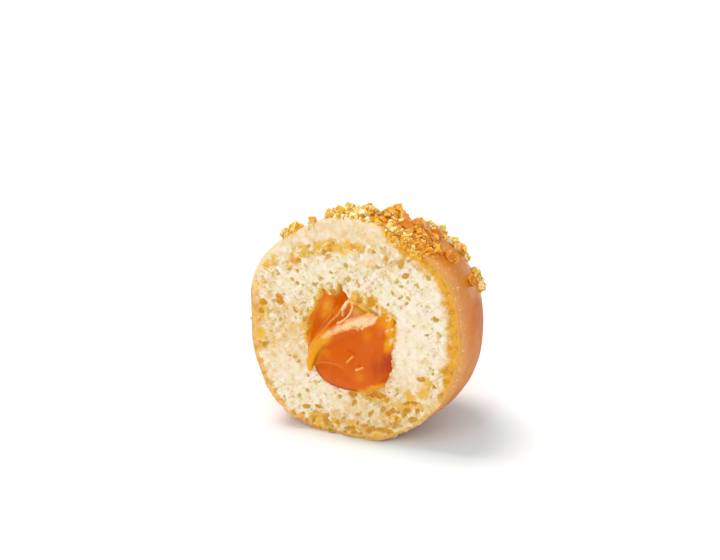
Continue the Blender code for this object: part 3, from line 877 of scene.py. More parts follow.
def bubbles(settings):
    """(across, behind, up, radius) of every small pore that the cut may open."""
    draw = np.random.default_rng(settings.seed)

    def strewn(count, radii, skew, shallowest):
        across = draw.uniform(-HALF_WIDTH, HALF_WIDTH, count)
        up = draw.uniform(-HALF_HEIGHT, HALF_HEIGHT, count)
        radius = radii[0] + (radii[1] - radii[0]) * draw.random(count) ** skew
        behind = draw.uniform(shallowest, 0.05, count) * radius
        return np.stack([across, behind, up, radius], -1)

    middling = strewn(MIDDLING_PORES, MIDDLING_RADII, 2.2, -0.7)
    fine = strewn(settings.pores, FINE_RADII, 1.4, -0.8)
    return np.concatenate([middling, fine])


def edge_wobble(angles):
    """How far the line between caramel and crumb strays at angles round the caramel."""
    ring = np.stack([np.cos(angles), np.sin(angles), np.zeros_like(angles)], -1) * CARAMEL_RADIUS
    low = smooth_step(-0.2, -0.6, np.sin(angles)) * smooth_step(0.95, 0.6, np.cos(angles))
    stray = 0.00014 * ripple(ring, 0.0020, 51) + 0.00009 * ripple(ring, 0.0009, 52)
    return stray * (1 - 0.85 * low)


def grid_window(ticks, across, up, reach):
    """The part of a square grid within reach of a place: its slices and its ticks both ways."""
    wide = slice(*np.searchsorted(ticks, (across - reach, across + reach)))
    high = slice(*np.searchsorted(ticks, (up - reach, up + reach)))
    return (wide, high), ticks[wide, None], ticks[None, high]


def pore_map(settings):
    """How far behind the cut the first crumb lies, over a square grid on the face."""
    ticks = np.arange(-MAP_HALF, MAP_HALF + MAP_STEP / 2, MAP_STEP)
    depth = np.zeros((len(ticks), len(ticks)))
    for across, behind, up, radius in bubbles(settings):
        here, x, z = grid_window(ticks, across, up, radius)
        off = (x - across) ** 2 + (z - up) ** 2
        half = np.sqrt(np.maximum(radius**2 - off, 0.0))
        depth[here] = np.maximum(depth[here], np.where(half > 0, behind + half, 0.0))
    depth *= 1 - 0.85 * calm_share(*np.meshgrid(ticks, ticks, indexing="ij"))
    for row in (*PITS, *fatty_pits(settings)):
        here, x, z = grid_window(ticks, row[0] / 1000, row[1] / 1000, row[2] / 1000)
        bowl = min(PIT_DEPTH * row[3] / 1000, PIT_DEEPEST)
        bowl = bowl * np.sqrt(np.maximum(1 - in_oval(x, z, row) ** 2, 0.0))
        depth[here] = np.maximum(depth[here], bowl)
    return ticks, np.minimum(depth, settings.pore_depth)


def read_map(ticks, depth, across, up):
    """The depth map between its grid points."""
    column = np.clip((across - ticks[0]) / MAP_STEP, 0, len(ticks) - 1.001)
    row = np.clip((up - ticks[0]) / MAP_STEP, 0, len(ticks) - 1.001)
    left, below = column.astype(int), row.astype(int)
    share_x, share_z = column - left, row - below
    near = depth[left, below] * (1 - share_x) + depth[left + 1, below] * share_x
    far = depth[left, below + 1] * (1 - share_x) + depth[left + 1, below + 1] * share_x
    return near * (1 - share_z) + far * share_z


class CutFace:
    """Where the crumb's points lie on the cut, in rings from the caramel out to the rim."""

    def __init__(self):
        self.middle = np.array((FILLING_MIDDLE[0], 0.0, FILLING_MIDDLE[1]))
        off = on_table(face_outline(RIM_STEPS)) - self.middle
        turn = np.arctan2(off[:, 2], off[:, 0])
        order = np.argsort(turn)
        reach = np.hypot(off[order, 0], off[order, 2])
        self.angles = np.arange(CRUMB_SEGMENTS) * 2 * math.pi / CRUMB_SEGMENTS - math.pi
        around = face_places(np.cos(self.angles), np.sin(self.angles))
        self.low = smooth_step(0.35, 0.85, -around[:, 2])
        rim = around * RIM_RADIUS
        torn = ripple(rim, 0.0026, 35) + 0.5 * ripple(rim, 0.0012, 36)
        inner = filling_radius(self.angles) + CRUMB_PAST_CARAMEL + edge_wobble(self.angles)
        outer = np.interp(self.angles, turn[order], reach, period=2 * math.pi)
        outer = outer + torn * (0.00005 + 0.00012 * self.low) + 0.00010 * self.low
        radius = inner + (outer - inner) * np.linspace(0.0, 1.0, CRUMB_RINGS)[:, None]
        self.across = self.middle[0] + radius * around[:, 0]
        self.up = self.middle[2] + radius * around[:, 2]
        self.places = face_places(self.across, self.up)
        self.degrees = np.degrees(np.arctan2(self.up, self.across)) % 360
        self.from_caramel = radius - inner
        self.to_rim = outer - radius
        self.share = self.from_caramel / (outer - inner)


def crumb_relief(face, settings):
    """The points of the crumb's front, and how deep in a pore and how raised each is."""
    ticks, depth = pore_map(settings)
    warp_x, warp_z = (0.00012 * ripple(face.places, 0.0012, seed) for seed in (31, 32))
    close = smooth_step(0.0034, 0.0008, face.to_rim) * smooth_step(-0.004, 0.006, face.up)
    opened = smooth_step(0.0001, 0.0009, face.to_rim) * (1 - 0.6 * close)
    pit = read_map(ticks, depth, face.across + warp_x, face.up + warp_z) * opened
    rounded = 0.00020 * (1 - smooth_step(0.0, 0.0005, face.to_rim)) ** 2
    lump = 0.65 * ripple(face.places, 0.0016, 33) + 0.50 * ripple(face.places, 0.0008, 37)
    lump = lump * (1 - 0.6 * calm_share(face.across, face.up))
    rough = 0.00014 * ripple(face.places, 0.004, 34) - 0.00013 * lump
    rough = rough - 0.0005 * face.low * bell((face.to_rim - 0.0015) / 0.0016)
    ahead = cut_wave(face.across, face.up) - CUT_AHEAD + pit + rounded + rough * opened
    return np.stack([face.across, ahead, face.up], -1), pit, lump * opened


def crumb_tints(face, pit, lump):
    """By name, a value over the face, one for the wall of the hole and one behind the rim."""
    soaking = 0.75 * bell((face.angles - 0.9) / 0.8)
    soaking = 0.45 + soaking + 0.65 * smooth_step(1.8, 2.8, np.abs(face.angles))
    soaked = smooth_step(0.0011, 0.0001, face.from_caramel) * soaking
    patchy = 0.38 * ripple(face.places, 0.0022, 38) + 0.30 * ripple(face.places, 0.0009, 39)
    gold = np.maximum(golden_share(face.across, face.up), soaked) * (1 + patchy)

    turns, widths = zip(*CRUST_WIDTHS)
    wide = np.interp(face.degrees, turns, widths, period=360) / 1000
    ragged = 0.20 * ripple(face.places, 0.0034, 43) + 0.10 * ripple(face.places, 0.0014, 44)
    crust = smooth_step(0.55, -0.45, face.to_rim / wide - 1 + ragged)
    crust = crust * (1 - 0.8 * smooth_step(0.8, 1.2, gold))

    turns, *warmths = zip(*WARMTHS)
    inmost, outmost = (np.interp(face.degrees, turns, row, period=360) for row in warmths)
    warm = inmost + (outmost - inmost) * smooth_step(0.25, 0.75, face.share)
    warm = np.maximum(warm, 0.85 * smooth_step(2.2, 1.1, face.to_rim / wide))
    golden = edge_gold(face.degrees)
    return {
        "pit": (pit * 1000, 0.0, 0.0),
        "gold": (gold, 1.3, 1.0),
        "crust": (crust, 0.0, 1.0),
        "warm": (warm, 1.0, 1.0),
        "lump": (lump, 0.0, 0.0),
        "golden": (golden, 0.0, 1.0),
        "calm": (calm_share(face.across, face.up), 0.0, 0.0),
        "outside": (golden * smooth_step(0.0007, 0.0002, face.to_rim), 0.0, 0.0),
    }


def make_crumb(settings):
    """The cut face: a ring of porous crumb from the caramel to the rim, closed behind."""
    face = CutFace()
    front, pit, lump = crumb_relief(face, settings)

    def back_ring(ring, behind, inwards):
        points = front[ring].copy()
        points[:, 1] = behind - CUT_AHEAD
        return face.middle + (points - face.middle) * (inwards, 1.0, inwards)

    wall = [back_ring(0, CAVITY_DEPTH * share, 1.0) for share in (1.0, 0.5)]
    lining = [back_ring(-1, behind, inwards) for behind, inwards in BEHIND_RIM]
    rings = np.stack([*wall, *front, *lining])
    faces = ring_faces(len(rings), CRUMB_SEGMENTS, close=True)
    piece = mesh_object("crumb", to_table(rings.reshape(-1, 3)), faces)
    face_outwards(piece.data)
    around = ((len(wall), len(lining)), (0, 0))
    for name, (values, first, last) in crumb_tints(face, pit, lump).items():
        padded = np.pad(values, around, constant_values=((first, last), (0, 0)))
        set_values(piece, name, padded)
    return piece


# The skin's rings outside and inside, how many radians behind the rim of the cut it starts, and
# how far the inside of its edge is set back
SKIN_SEGMENTS = 420
SKIN_RINGS = 104
INNER_RINGS = 14
SKIN_BEHIND_RIM = 0.010
SKIN_SET_BACK = 0.0006

# How far a crystal's syrup stains the skin
SYRUP_REACH = 0.0028

# How long the finer grains are: among the crystals, spilt onto the cut, and along the rim
GRAIN_LENGTHS = (0.00040, 0.00090)
SPILT_LENGTHS = (0.00040, 0.00085)
RIM_LENGTHS = (0.00045, 0.00105)


def crystal_stands():
    """(place, turn, size) of each crystal that the solid has, in the form's frame."""
    draw = random.Random(CRYSTAL_SEED)
    stands = []
    for tilt, turn, spread, height, count in CLUMPS:
        heading = math.radians(turn)
        level = Vector((math.cos(heading), math.sin(heading), 0)) * math.sin(math.radians(tilt))
        middle = level + Vector((0, 0, math.cos(math.radians(tilt))))
        sides = middle.to_track_quat("Z", "Y").to_matrix()
        for number in range(count):
            raised = number / count
            out = spread * (1 - 0.75 * raised) * math.sqrt(draw.random()) / 1000
            around = draw.uniform(0, 2 * math.pi)
            off = sides @ Vector((out * math.cos(around), out * math.sin(around), 0))
            direction = (Vector(form_points(np.array(middle))) + off).normalized()
            length = draw.uniform(*CRYSTAL_LENGTHS)
            breadth = length * draw.uniform(*CRYSTAL_BREADTHS)
            size = Vector((length, breadth, length * draw.uniform(*CRYSTAL_THICKNESSES)))
            tilts = (
                draw.uniform(-CRYSTAL_TILT, CRYSTAL_TILT),
                draw.uniform(-CRYSTAL_TILT, CRYSTAL_TILT),
                draw.uniform(0, math.pi),
            )
            turned = direction.to_track_quat("Z", "Y").to_matrix() @ Euler(tilts).to_matrix()
            lift = raised * height / 1000 + size.z * (0.5 - CRYSTAL_SINK)
            place = Vector(form_points(np.array(direction))) + direction * lift
            place.y = max(place.y, CRYSTAL_TO_CUT - CUT_AHEAD)
            stands.append((place, turned, size))
    return stands


def grain(draw, length, thinnest, thickest):
    """The size of a finer grain of a length."""
    breadth = length * draw.uniform(0.6, 1.0)
    return Vector((length, breadth, length * draw.uniform(thinnest, thickest)))


# Where grains spilt over the rim onto the cut: across and up of its middle, reach both ways, all in
# millimetres, and how many
SPILLS = ((6.2, 17.2, 1.2, 0.7, 22), (9.0, 16.4, 1.6, 0.8, 30), (11.2, 15.2, 1.0, 0.8, 16))

# Where grains lie along the top of the rim: from and to, in degrees round the face, how far behind
# the cut they reach in millimetres, and how many
RIM_GRAINS = ((48, 84, 3.0, 75), (84, 93, 2.2, 20), (93, 103, 2.4, 26))


def rim_grains(draw):
    """(place, size) of the grains that hide the skin along the top of the rim."""
    rim = face_outline(2 * 360)
    made = []
    for start, end, reach, count in RIM_GRAINS:
        for _ in range(count):
            behind = 0.0003 + 0.001 * reach * draw.random() ** 1.3
            aim = Vector(rim[round(2 * draw.uniform(start, end))]) + Vector((0, behind, 0))
            length = draw.uniform(*RIM_LENGTHS)
            place = Vector(form_points(np.array(aim.normalized())))
            place += place.normalized() * length * 0.15
            made.append((place, grain(draw, length, 0.5, 0.9)))
    return made


def small_grains(settings, crystals):
    """(place, turn, size) of the finer grains that lie among and on the large crystals."""
    draw = random.Random(settings.seed)

    def any_turn():
        return Euler([draw.uniform(0, math.pi) for _ in range(3)]).to_matrix()

    made = []
    while len(made) < settings.small_grains:
        host, turned, large = draw.choice(crystals)
        face = Vector([draw.uniform(-0.5, 0.5) for _ in range(3)])
        face[draw.randrange(3)] = draw.choice((-0.5, 0.5))
        place = host + turned @ (face * large)
        length = draw.uniform(*GRAIN_LENGTHS)
        ground = np.linalg.norm(form_points(np.array(place.normalized())))
        if place.length < ground or place.y + CUT_AHEAD < 0.0003:
            continue
        size = grain(draw, length, 0.4, 0.8)
        made.append((place, any_turn(), size))
    for across, up, reach_x, reach_z, count in SPILLS:
        for _ in range(count):
            x = across + draw.uniform(-reach_x, reach_x)
            z = up + draw.uniform(-reach_z, reach_z) - 0.45 * (x - across)
            length = draw.uniform(*SPILT_LENGTHS)
            place = Vector((x / 1000, -CUT_AHEAD - 0.2 * length, z / 1000))
            inside = np.linalg.norm(form_points(np.array(place.normalized()))) / place.length
            place.y += 0.0008 * smooth_step(1.03, 0.99, inside)
            size = grain(draw, length, 0.5, 0.8)
            made.append((place, any_turn(), size))
    made += [(place, any_turn(), size) for place, size in rim_grains(draw)]
    return made


def make_skin(settings):
    """The glazed skin: a closed shell from the rim of the cut round to the back."""
    rim = face_outline(SKIN_SEGMENTS)
    start = np.arccos(rim[:, 1] / np.linalg.norm(rim, axis=-1)) - SKIN_BEHIND_RIM
    around = np.arctan2(rim[:, 2], rim[:, 0])
    lean = start * np.linspace(1.0, 0.004, SKIN_RINGS)[:, None] ** 1.15
    level = [np.sin(lean) * np.cos(around), np.cos(lean), np.sin(lean) * np.sin(around)]
    rays = np.stack(level, -1)
    outer = form_points(rays)
    behind_rim = (outer[..., 1] - rim[:, 1]) * 1000
    wavy = 0.00005 * ripple(outer, 0.0045, 41) + 0.00007 * ripple(outer, 0.011, 42)
    wavy = wavy * smooth_step(0.0, 1.5, behind_rim)
    outer = on_table(outer + rays * wavy[..., None])
    chosen = np.linspace(0, SKIN_RINGS - 1, INNER_RINGS).astype(int)
    inner = outer[chosen] - rays[chosen] * settings.thickness
    inner[0, :, 1] += SKIN_SET_BACK
    points, faces = capped(np.concatenate([outer[::-1], inner]))
    piece = mesh_object("glazed_skin", to_table(points), faces)
    face_outwards(piece.data)

    syrup = np.zeros(outer.shape[:2])
    for place, _, _ in crystal_stands():
        syrup += bell(np.linalg.norm(outer - np.array(place), axis=-1) / SYRUP_REACH)
    syrup = np.minimum(syrup * 0.30, 1.5) * smooth_step(-0.014, 0.002, outer[..., 0])
    turned = np.degrees(np.arctan2(outer[..., 2], outer[..., 0]))
    golden = np.maximum(edge_gold(turned), edge_gold(turned + 28))
    blank = np.zeros(INNER_RINGS * SKIN_SEGMENTS + 2)
    for name, values in (("syrup", syrup), ("edge", behind_rim), ("golden", golden)):
        set_values(piece, name, np.concatenate([values[::-1].ravel(), blank]))
    return piece


# The caramel's rings, in front of the cut and behind it
CARAMEL_SEGMENTS = 300
CARAMEL_RINGS = 120
CARAMEL_BACK_RINGS = 16

# Strands, loop and lips too fine for the solid: height, half-width, how strong the painted
# highlight along them is, and where they run, all in millimetres
CARAMEL_LINES = (
    (0.22, 0.18, 0.34, ((-7.0, -4.6), (-6.4, -2.7), (-5.8, -1.6), (-4.9, -0.1), (-4.3, 0.9))),
    (0.22, 0.18, 0.42, ((-4.3, 0.9), (-3.2, 2.1), (-2.4, 3.4), (-1.6, 4.7))),
    (0.18, 0.15, 0.24, ((-6.9, -3.6), (-6.4, -2.1), (-5.9, -1.0), (-5.2, 0.2), (-4.1, 1.5))),
    (0.18, 0.15, 0.24, ((-4.1, 1.5), (-2.9, 2.9), (-2.3, 4.0))),
    (0.22, 0.20, 0.30, ((-6.6, -4.6), (-6.0, -3.2), (-5.3, -1.9), (-4.5, -0.7), (-3.2, 0.6))),
    (0.18, 0.15, 0.22, ((-6.7, -2.2), (-6.2, -0.8), (-5.6, 0.6), (-4.6, 2.2), (-3.6, 3.6))),
    (0.50, 0.36, 0.55, ((-2.0, 2.5), (-1.9, 3.5))),
    (0.50, 0.32, 1.05, ((-1.9, 3.5), (-1.5, 4.6), (-1.1, 5.0))),
    (0.34, 0.20, 0.80, ((-1.1, 5.0), (-0.7, 4.6), (-0.5, 3.8), (-0.7, 2.9), (-1.3, 1.9))),
    (0.34, 0.24, 0.70, ((-1.3, 1.9), (-2.1, 1.3), (-2.8, 1.0))),
    (-0.40, 0.34, 0.0, ((-1.3, 3.8), (-1.5, 2.5))),
    (0.18, 0.24, 0.22, ((-5.7, 3.0), (-5.3, 3.3), (-4.9, 2.8))),
    (0.18, 0.24, 0.22, ((-5.0, 2.6), (-4.5, 3.0), (-4.1, 2.6), (-3.9, 2.1))),
    (0.20, 0.24, 0.30, ((-5.1, -1.5), (-4.0, -0.2), (-2.7, 0.6), (-1.4, 1.1), (-0.1, 1.9))),
    (0.20, 0.26, 0.45, ((-0.1, 1.9), (1.0, 2.6), (2.3, 3.1), (3.6, 3.1))),
    (0.20, 0.22, 0.40, ((-4.0, -1.3), (-2.7, -0.6), (-1.1, 0.1), (-0.1, 0.7), (1.2, 0.9))),
    (0.20, 0.20, 0.75, ((-0.4, 0.5), (0.3, 1.1))),
    (0.20, 0.20, 0.75, ((2.4, 1.0), (3.4, 2.2), (3.8, 3.0))),
    (0.20, 0.26, 0.35, ((1.2, 0.9), (2.2, 1.2))),
    (0.16, 0.14, 0.26, ((-6.0, -6.2), (-5.0, -5.8), (-3.6, -5.6), (-1.8, -5.6), (-0.2, -6.0))),
    (0.16, 0.15, 0.15, ((-0.2, -6.0), (0.9, -6.6), (1.5, -7.3), (1.3, -8.2))),
    (0.12, 0.20, 0.12, ((-3.1, -6.0), (-2.9, -7.0), (-2.2, -7.9), (-1.5, -8.5))),
    (0.12, 0.26, 0.40, ((0.3, -4.8), (1.2, -3.8))),
    (0.12, 0.20, 0.55, ((2.0, -5.9), (3.1, -5.4))),
)

# The middle of the pale band along the fold, stretched caramel with a painted highlight over it,
# in millimetres
PALE_BAND = (
    (-4.5, -1.6), (-3.4, -0.6), (-2.0, 0.2), (-0.6, 0.9), (0.8, 1.6), (2.2, 2.2), (3.9, 2.9),
)

# Painted shadow: the dark lines under the lobe's lip and along the flap; and the painted shade
# beside the small highlights; in millimetres
LOBE_LIP_SHADOW = ((-6.2, -6.4), (-5.5, -7.4), (-4.2, -8.6), (-2.3, -9.5), (-0.1, -9.9), (1.5, -9.8))
SPARK_SHADE = ((0.2, -2.9), (1.8, -3.2), (2.6, -4.2), (2.5, -5.4))
FLAP_SHADE = ((-6.1, -7.2), (-5.9, -5.6), (-5.6, -4.6), (-4.6, -3.0))

# The haze over the fold, which is partly a painted highlight, the painted shade where the caramel
# lies deep, and where it is thin, as ovals: how strong, across and up of the middle, and the
# reach both ways in millimetres
PALE_HAZE = (0.42, 0.3, 2.9, 2.1, 1.2)
SHADE_OVALS = (
    (0.50, -3.8, 4.7, 1.1, 0.6), (1.10, 7.0, -4.8, 1.5, 2.4), (0.35, 1.2, -4.4, 1.8, 1.4),
    (0.30, -2.6, -8.0, 3.0, 1.4), (0.55, 5.2, -4.5, 1.6, 3.0),
)
THIN_OVALS = (
    (0.65, 6.2, 2.8, 1.9, 1.5), (1.00, -0.2, 4.4, 1.0, 1.2), (1.00, 0.9, 3.6, 1.8, 1.0),
    (0.35, 3.6, 0.4, 2.2, 1.8), (0.50, -5.0, -4.0, 2.6, 1.0), (0.45, 2.6, -7.0, 1.4, 1.4),
    (1.00, -4.8, 6.0, 1.6, 1.4), (0.75, -5.4, 3.2, 1.4, 2.8), (0.40, -3.4, 2.6, 1.4, 1.6),
)


def near_line(across, up, points):
    """The distance in millimetres from places on the face to a line through points."""
    return line_distance(across * 1000, up * 1000, points)


def current_graph():
    bpy.context.view_layer.update()
    return bpy.context.evaluated_depsgraph_get()


def bake_modifiers(piece):
    """Turns what a piece's modifiers make into its own plain mesh."""
    mesh = bpy.data.meshes.new_from_object(piece.evaluated_get(current_graph()))
    piece.modifiers.clear()
    piece.data = mesh


def caramel_relief(across, up):
    """The solid's front, with the lines that are too fine for it."""
    stand = filling_front(across, up)
    for height, width, _, points in CARAMEL_LINES:
        stand = stand + height / 1000 * bell(near_line(across, up, points) / width)
    return stand


def caramel_tints(across, up):
    """How folded and how thin the caramel is at places on it, and where it takes painted
    highlights, painted shade in its hollows and painted shadow.
    """
    places = face_places(across, up)
    stray = 0.30 * ripple(places, 0.0026, 61) + 0.12 * ripple(places, 0.0010, 62)
    x, z = across * 1000, up * 1000

    def ovals(rows):
        return np.maximum.reduce(
            [
                strength * bell(np.hypot((x - middle_x) / reach_x, (z - middle_z) / reach_z))
                for strength, middle_x, middle_z, reach_x, reach_z in rows
            ]
        )

    def along(line, strength, width, wander):
        return strength * bell((near_line(across, up, line) + wander * stray) / width)

    # The pale fold and its haze: stretched caramel and a painted highlight together
    wide = 0.50 + 0.35 * smooth_step(-3.0, 2.0, x)
    stretched = 0.60 + 0.40 * smooth_step(-3.6, 0.2, x)
    fold = stretched * bell(((near_line(across, up, PALE_BAND) + 0.7 * stray) / wide) ** 2)
    fold = np.maximum(fold, ovals([PALE_HAZE]))
    # Painted highlights along the lines
    gleam = np.zeros_like(across)
    for _, width, paleness, points in CARAMEL_LINES:
        gleam = np.maximum(gleam, along(points, paleness, width, 0.25 * width))

    bearing = np.arctan2(up - FILLING_MIDDLE[1], across - FILLING_MIDDLE[0])
    off = np.hypot(across - FILLING_MIDDLE[0], up - FILLING_MIDDLE[1])
    to_edge = filling_radius(bearing) - off
    flap = bell(line_distance(across, up, [(place[0], place[2]) for place in FLAP_LINE]) / 0.0012)
    # Painted shade along the lower edge of the caramel
    low_edge_shade = smooth_step(0.0007, 0.0001, to_edge) * smooth_step(-3.0, -6.0, z)
    deep = [ovals(SHADE_OVALS), along(SPARK_SHADE, 0.55, 0.30, 0.2), 0.6 * low_edge_shade]
    # Painted shadow under the lobe's lip and along the flap
    shade = np.maximum(along(LOBE_LIP_SHADOW, 0.9, 0.22, 0.15), along(FLAP_SHADE, 0.5, 0.30, 0.15))
    rim = smooth_step(0.0012, 0.0, to_edge + 0.0005 * stray)
    specks = 0.12 + 0.80 * smooth_step(0.3, 0.9, ripple(places, 0.0011, 63))
    fold = np.maximum(fold, specks * rim * smooth_step(3.0, 5.0, x) * smooth_step(-2.0, 0.0, z))
    thin = [
        flap,
        ovals(THIN_OVALS),
        1.0 * rim * smooth_step(0.5, 3.5, x) * smooth_step(-4.0, -0.5, z),
        0.6 * rim * smooth_step(-3.5, -5.0, x) * smooth_step(-7.0, -5.0, z),
        0.8 * rim * smooth_step(1.0, 3.0, x) * smooth_step(-7.0, -8.5, z),
    ]
    return fold, gleam, np.maximum.reduce(deep), np.maximum.reduce(thin), shade


def make_flap():
    """The hanging flap, as a tapered tube between the same places as the solid's."""
    curve = bpy.data.curves.new("flap", "CURVE")
    curve.dimensions = "3D"
    curve.bevel_depth = FLAP_RADIUS
    curve.bevel_resolution = 6
    curve.resolution_u = 12
    curve.use_fill_caps = True
    spline = curve.splines.new("BEZIER")
    spline.bezier_points.add(len(FLAP_LINE) - 1)
    for point, (across, ahead, up), taper in zip(spline.bezier_points, FLAP_LINE, FLAP_TAPER):
        point.co = (across, -CUT_AHEAD - ahead, up)
        point.radius = taper
        point.handle_left_type = point.handle_right_type = "AUTO"
    tube = bpy.data.objects.new("flap", curve)
    bpy.context.scene.collection.objects.link(tube)
    mesh = bpy.data.meshes.new_from_object(tube.evaluated_get(current_graph()))
    bpy.data.objects.remove(tube)
    return mesh


def make_caramel(settings):
    """The caramel, bulging out of the cut and closed behind, fused with its hanging flap."""
    angles = np.arange(CARAMEL_SEGMENTS) * 2 * math.pi / CARAMEL_SEGMENTS
    outline = filling_radius(angles) + CARAMEL_PAST_SOLID + edge_wobble(angles)

    def ring(reach):
        middle_x, middle_z = FILLING_MIDDLE
        return middle_x + reach * np.cos(angles), middle_z + reach * np.sin(angles)

    rise = np.linspace(0.9995, 0.0, CARAMEL_RINGS)[:, None]
    across, up = ring(outline * np.sqrt(1 - rise**2) ** 0.9)
    front = caramel_relief(across, up)
    brim = np.minimum(0.0, front) - 0.0002
    stand = brim + (front - brim) * rise**0.5
    fore = np.stack([across, -CUT_AHEAD - stand, up], -1)
    sink = np.linspace(0.06, 0.9995, CARAMEL_BACK_RINGS)[:, None]
    across, up = ring(outline * np.sqrt(1 - sink**2) ** 0.75)
    behind = brim[-1] - FILLING_DEPTH * sink**1.2
    aft = np.stack([across, -CUT_AHEAD - behind, up], -1)
    points, faces = capped(np.concatenate([fore, aft]))
    piece = mesh_object("caramel", points, faces)
    face_outwards(piece.data, make_flap())
    fused = piece.modifiers.new("Fuse", "REMESH")
    fused.mode = "VOXEL"
    fused.voxel_size = settings.fineness
    fused.use_smooth_shade = True
    eased = piece.modifiers.new("Ease", "SMOOTH")
    eased.factor = 0.5
    eased.iterations = 2
    bake_modifiers(piece)

    places = np.empty(len(piece.data.vertices) * 3, np.float32)
    piece.data.vertices.foreach_get("co", places)
    places = places.reshape(-1, 3).astype(float)
    tints = caramel_tints(places[:, 0], places[:, 2])
    for name, values in zip(("fold", "gleam", "deep", "thin", "shade"), tints):
        set_values(piece, name, values)
    piece.data.transform(LEANT)
    return piece


# How many shapes the crystals and the flakes are picked from, how much larger than the solid's
# the crystals are, because their corners are worn, and how long the flakes are
CRYSTAL_KINDS = 8
FLAKE_KINDS = 6
CRYSTAL_GROWTH = 1.06
FLAKE_LENGTHS = (0.00025, 0.00080)


def scatter_tree(name):
    """A tree that stands a collection's shapes on a mesh's points, as their attributes say."""
    tree = bpy.data.node_groups.new(name, "GeometryNodeTree")
    taken = {"Points": "Geometry", "Shapes": "Collection", "Finish": "Material", "Growth": "Float"}
    for label, kind in taken.items():
        tree.interface.new_socket(label, in_out="INPUT", socket_type="NodeSocket" + kind)
    tree.interface.new_socket("Pieces", in_out="OUTPUT", socket_type="NodeSocketGeometry")

    def node(kind, inputs=None, **settings):
        """Adds a node, its settings first, and gives its outputs."""
        made = tree.nodes.new(kind)
        for label, value in settings.items():
            setattr(made, label, value)
        for label, value in (inputs or {}).items():
            if isinstance(value, bpy.types.NodeSocket):
                tree.links.new(value, made.inputs[label])
            else:
                made.inputs[label].default_value = value
        return made.outputs

    def own(label, kind):
        return node("GeometryNodeInputNamedAttribute", {"Name": label}, data_type=kind)["Attribute"]

    given = node("NodeGroupInput")
    picked = {"Collection": given["Shapes"], "Separate Children": True, "Reset Children": True}
    growing = {"Vector": own("size", "FLOAT_VECTOR"), "Scale": given["Growth"]}
    turn = node("FunctionNodeEulerToRotation", {"Euler": own("turn", "FLOAT_VECTOR")})
    standing = {
        "Points": given["Points"],
        "Instance": node("GeometryNodeCollectionInfo", picked)[0],
        "Pick Instance": True,
        "Instance Index": own("kind", "INT"),
        "Rotation": turn[0],
        "Scale": node("ShaderNodeVectorMath", growing, operation="SCALE")[0],
    }
    stood = node("GeometryNodeInstanceOnPoints", standing)
    real = node("GeometryNodeRealizeInstances", {"Geometry": stood[0]})
    finishing = {"Geometry": real[0], "Material": given["Finish"]}
    node("NodeGroupOutput", {"Pieces": node("GeometryNodeSetMaterial", finishing)[0]})
    return tree


def scatter(name, stands, kinds, tones, shapes, finish, growth=1.0):
    """Stands shapes on points, from (place, turn, size) in the form's frame, as one plain mesh."""
    leant = LEANT.to_3x3()
    mesh = bpy.data.meshes.new(name)
    mesh.from_pydata([LEANT @ place for place, _, _ in stands], [], [])
    turns = [tuple((leant @ turn).to_euler()) for _, turn, _ in stands]
    for label, values in (("turn", turns), ("size", [tuple(size) for _, _, size in stands])):
        attribute = mesh.attributes.new(label, "FLOAT_VECTOR", "POINT")
        attribute.data.foreach_set("vector", np.array(values, np.float32).ravel())
    mesh.attributes.new("kind", "INT", "POINT").data.foreach_set("value", kinds)
    mesh.attributes.new("tone", "FLOAT", "POINT").data.foreach_set("value", tones)
    piece = bpy.data.objects.new(name, mesh)
    bpy.context.scene.collection.objects.link(piece)
    tree = scatter_tree(name + "_tree")
    modifier = piece.modifiers.new("Scatter", "NODES")
    modifier.node_group = tree
    given = {"Shapes": shapes, "Finish": finish, "Growth": growth}
    for item in tree.interface.items_tree:
        if item.name in given:
            modifier[item.identifier] = given[item.name]
    bake_modifiers(piece)
    for shape in list(shapes.objects):
        bpy.data.objects.remove(shape)
    bpy.data.collections.remove(shapes)
    return piece


def shape_collection(name, count, maker):
    """Unit shapes from a maker, in a collection that the scene doesn't show."""
    shapes = bpy.data.collections.new(name)
    for number in range(count):
        shape = bmesh.new()
        maker(shape, random.Random(number + 1))
        mesh = bpy.data.meshes.new(f"{name}_{number}")
        shape.to_mesh(mesh)
        shape.free()
        face_outwards(mesh)
        shapes.objects.link(bpy.data.objects.new(mesh.name, mesh))
    return shapes


def broken_crystal(shape, draw):
    """A block about 1 across with uneven corners and worn edges."""
    bmesh.ops.create_cube(shape, size=1.0)
    for vertex in shape.verts:
        vertex.co += Vector([draw.uniform(-0.14, 0.14) for _ in range(3)])
    bmesh.ops.bevel(shape, geom=list(shape.edges), offset=0.08, segments=1, affect="EDGES")
    # Marks the narrow bevel faces, where the sugar's painted glints lie
    worn = shape.faces.layers.float.new("worn")
    for face in shape.faces:
        face[worn] = 1.0 if face.calc_area() < 0.2 else 0.0


def ragged_flake(shape, draw):
    """A flat scrap about 1 across."""
    bmesh.ops.create_icosphere(shape, subdivisions=1, radius=0.5)
    for vertex in shape.verts:
        vertex.co *= draw.uniform(0.65, 1.25)
        vertex.co.z *= 0.6


def crystal_tone(place, chance):
    """How pale a crystal is, from chance and from where it lies in the form's frame."""
    in_syrup = smooth_step(0.002, 0.007, place.x) * smooth_step(0.012, 0.009, place.y)
    in_syrup = in_syrup * smooth_step(-0.0032, 0.0008, place.y)
    left = smooth_step(0.004, -0.002, place.x) * smooth_step(-0.0075, -0.0055, place.x)
    back = smooth_step(0.009, 0.012, place.y)
    spilt = 0.15 if place.y < -0.0014 else 0.0
    return chance + 0.06 - 0.62 * in_syrup + 0.45 * left + 0.35 * back + spilt


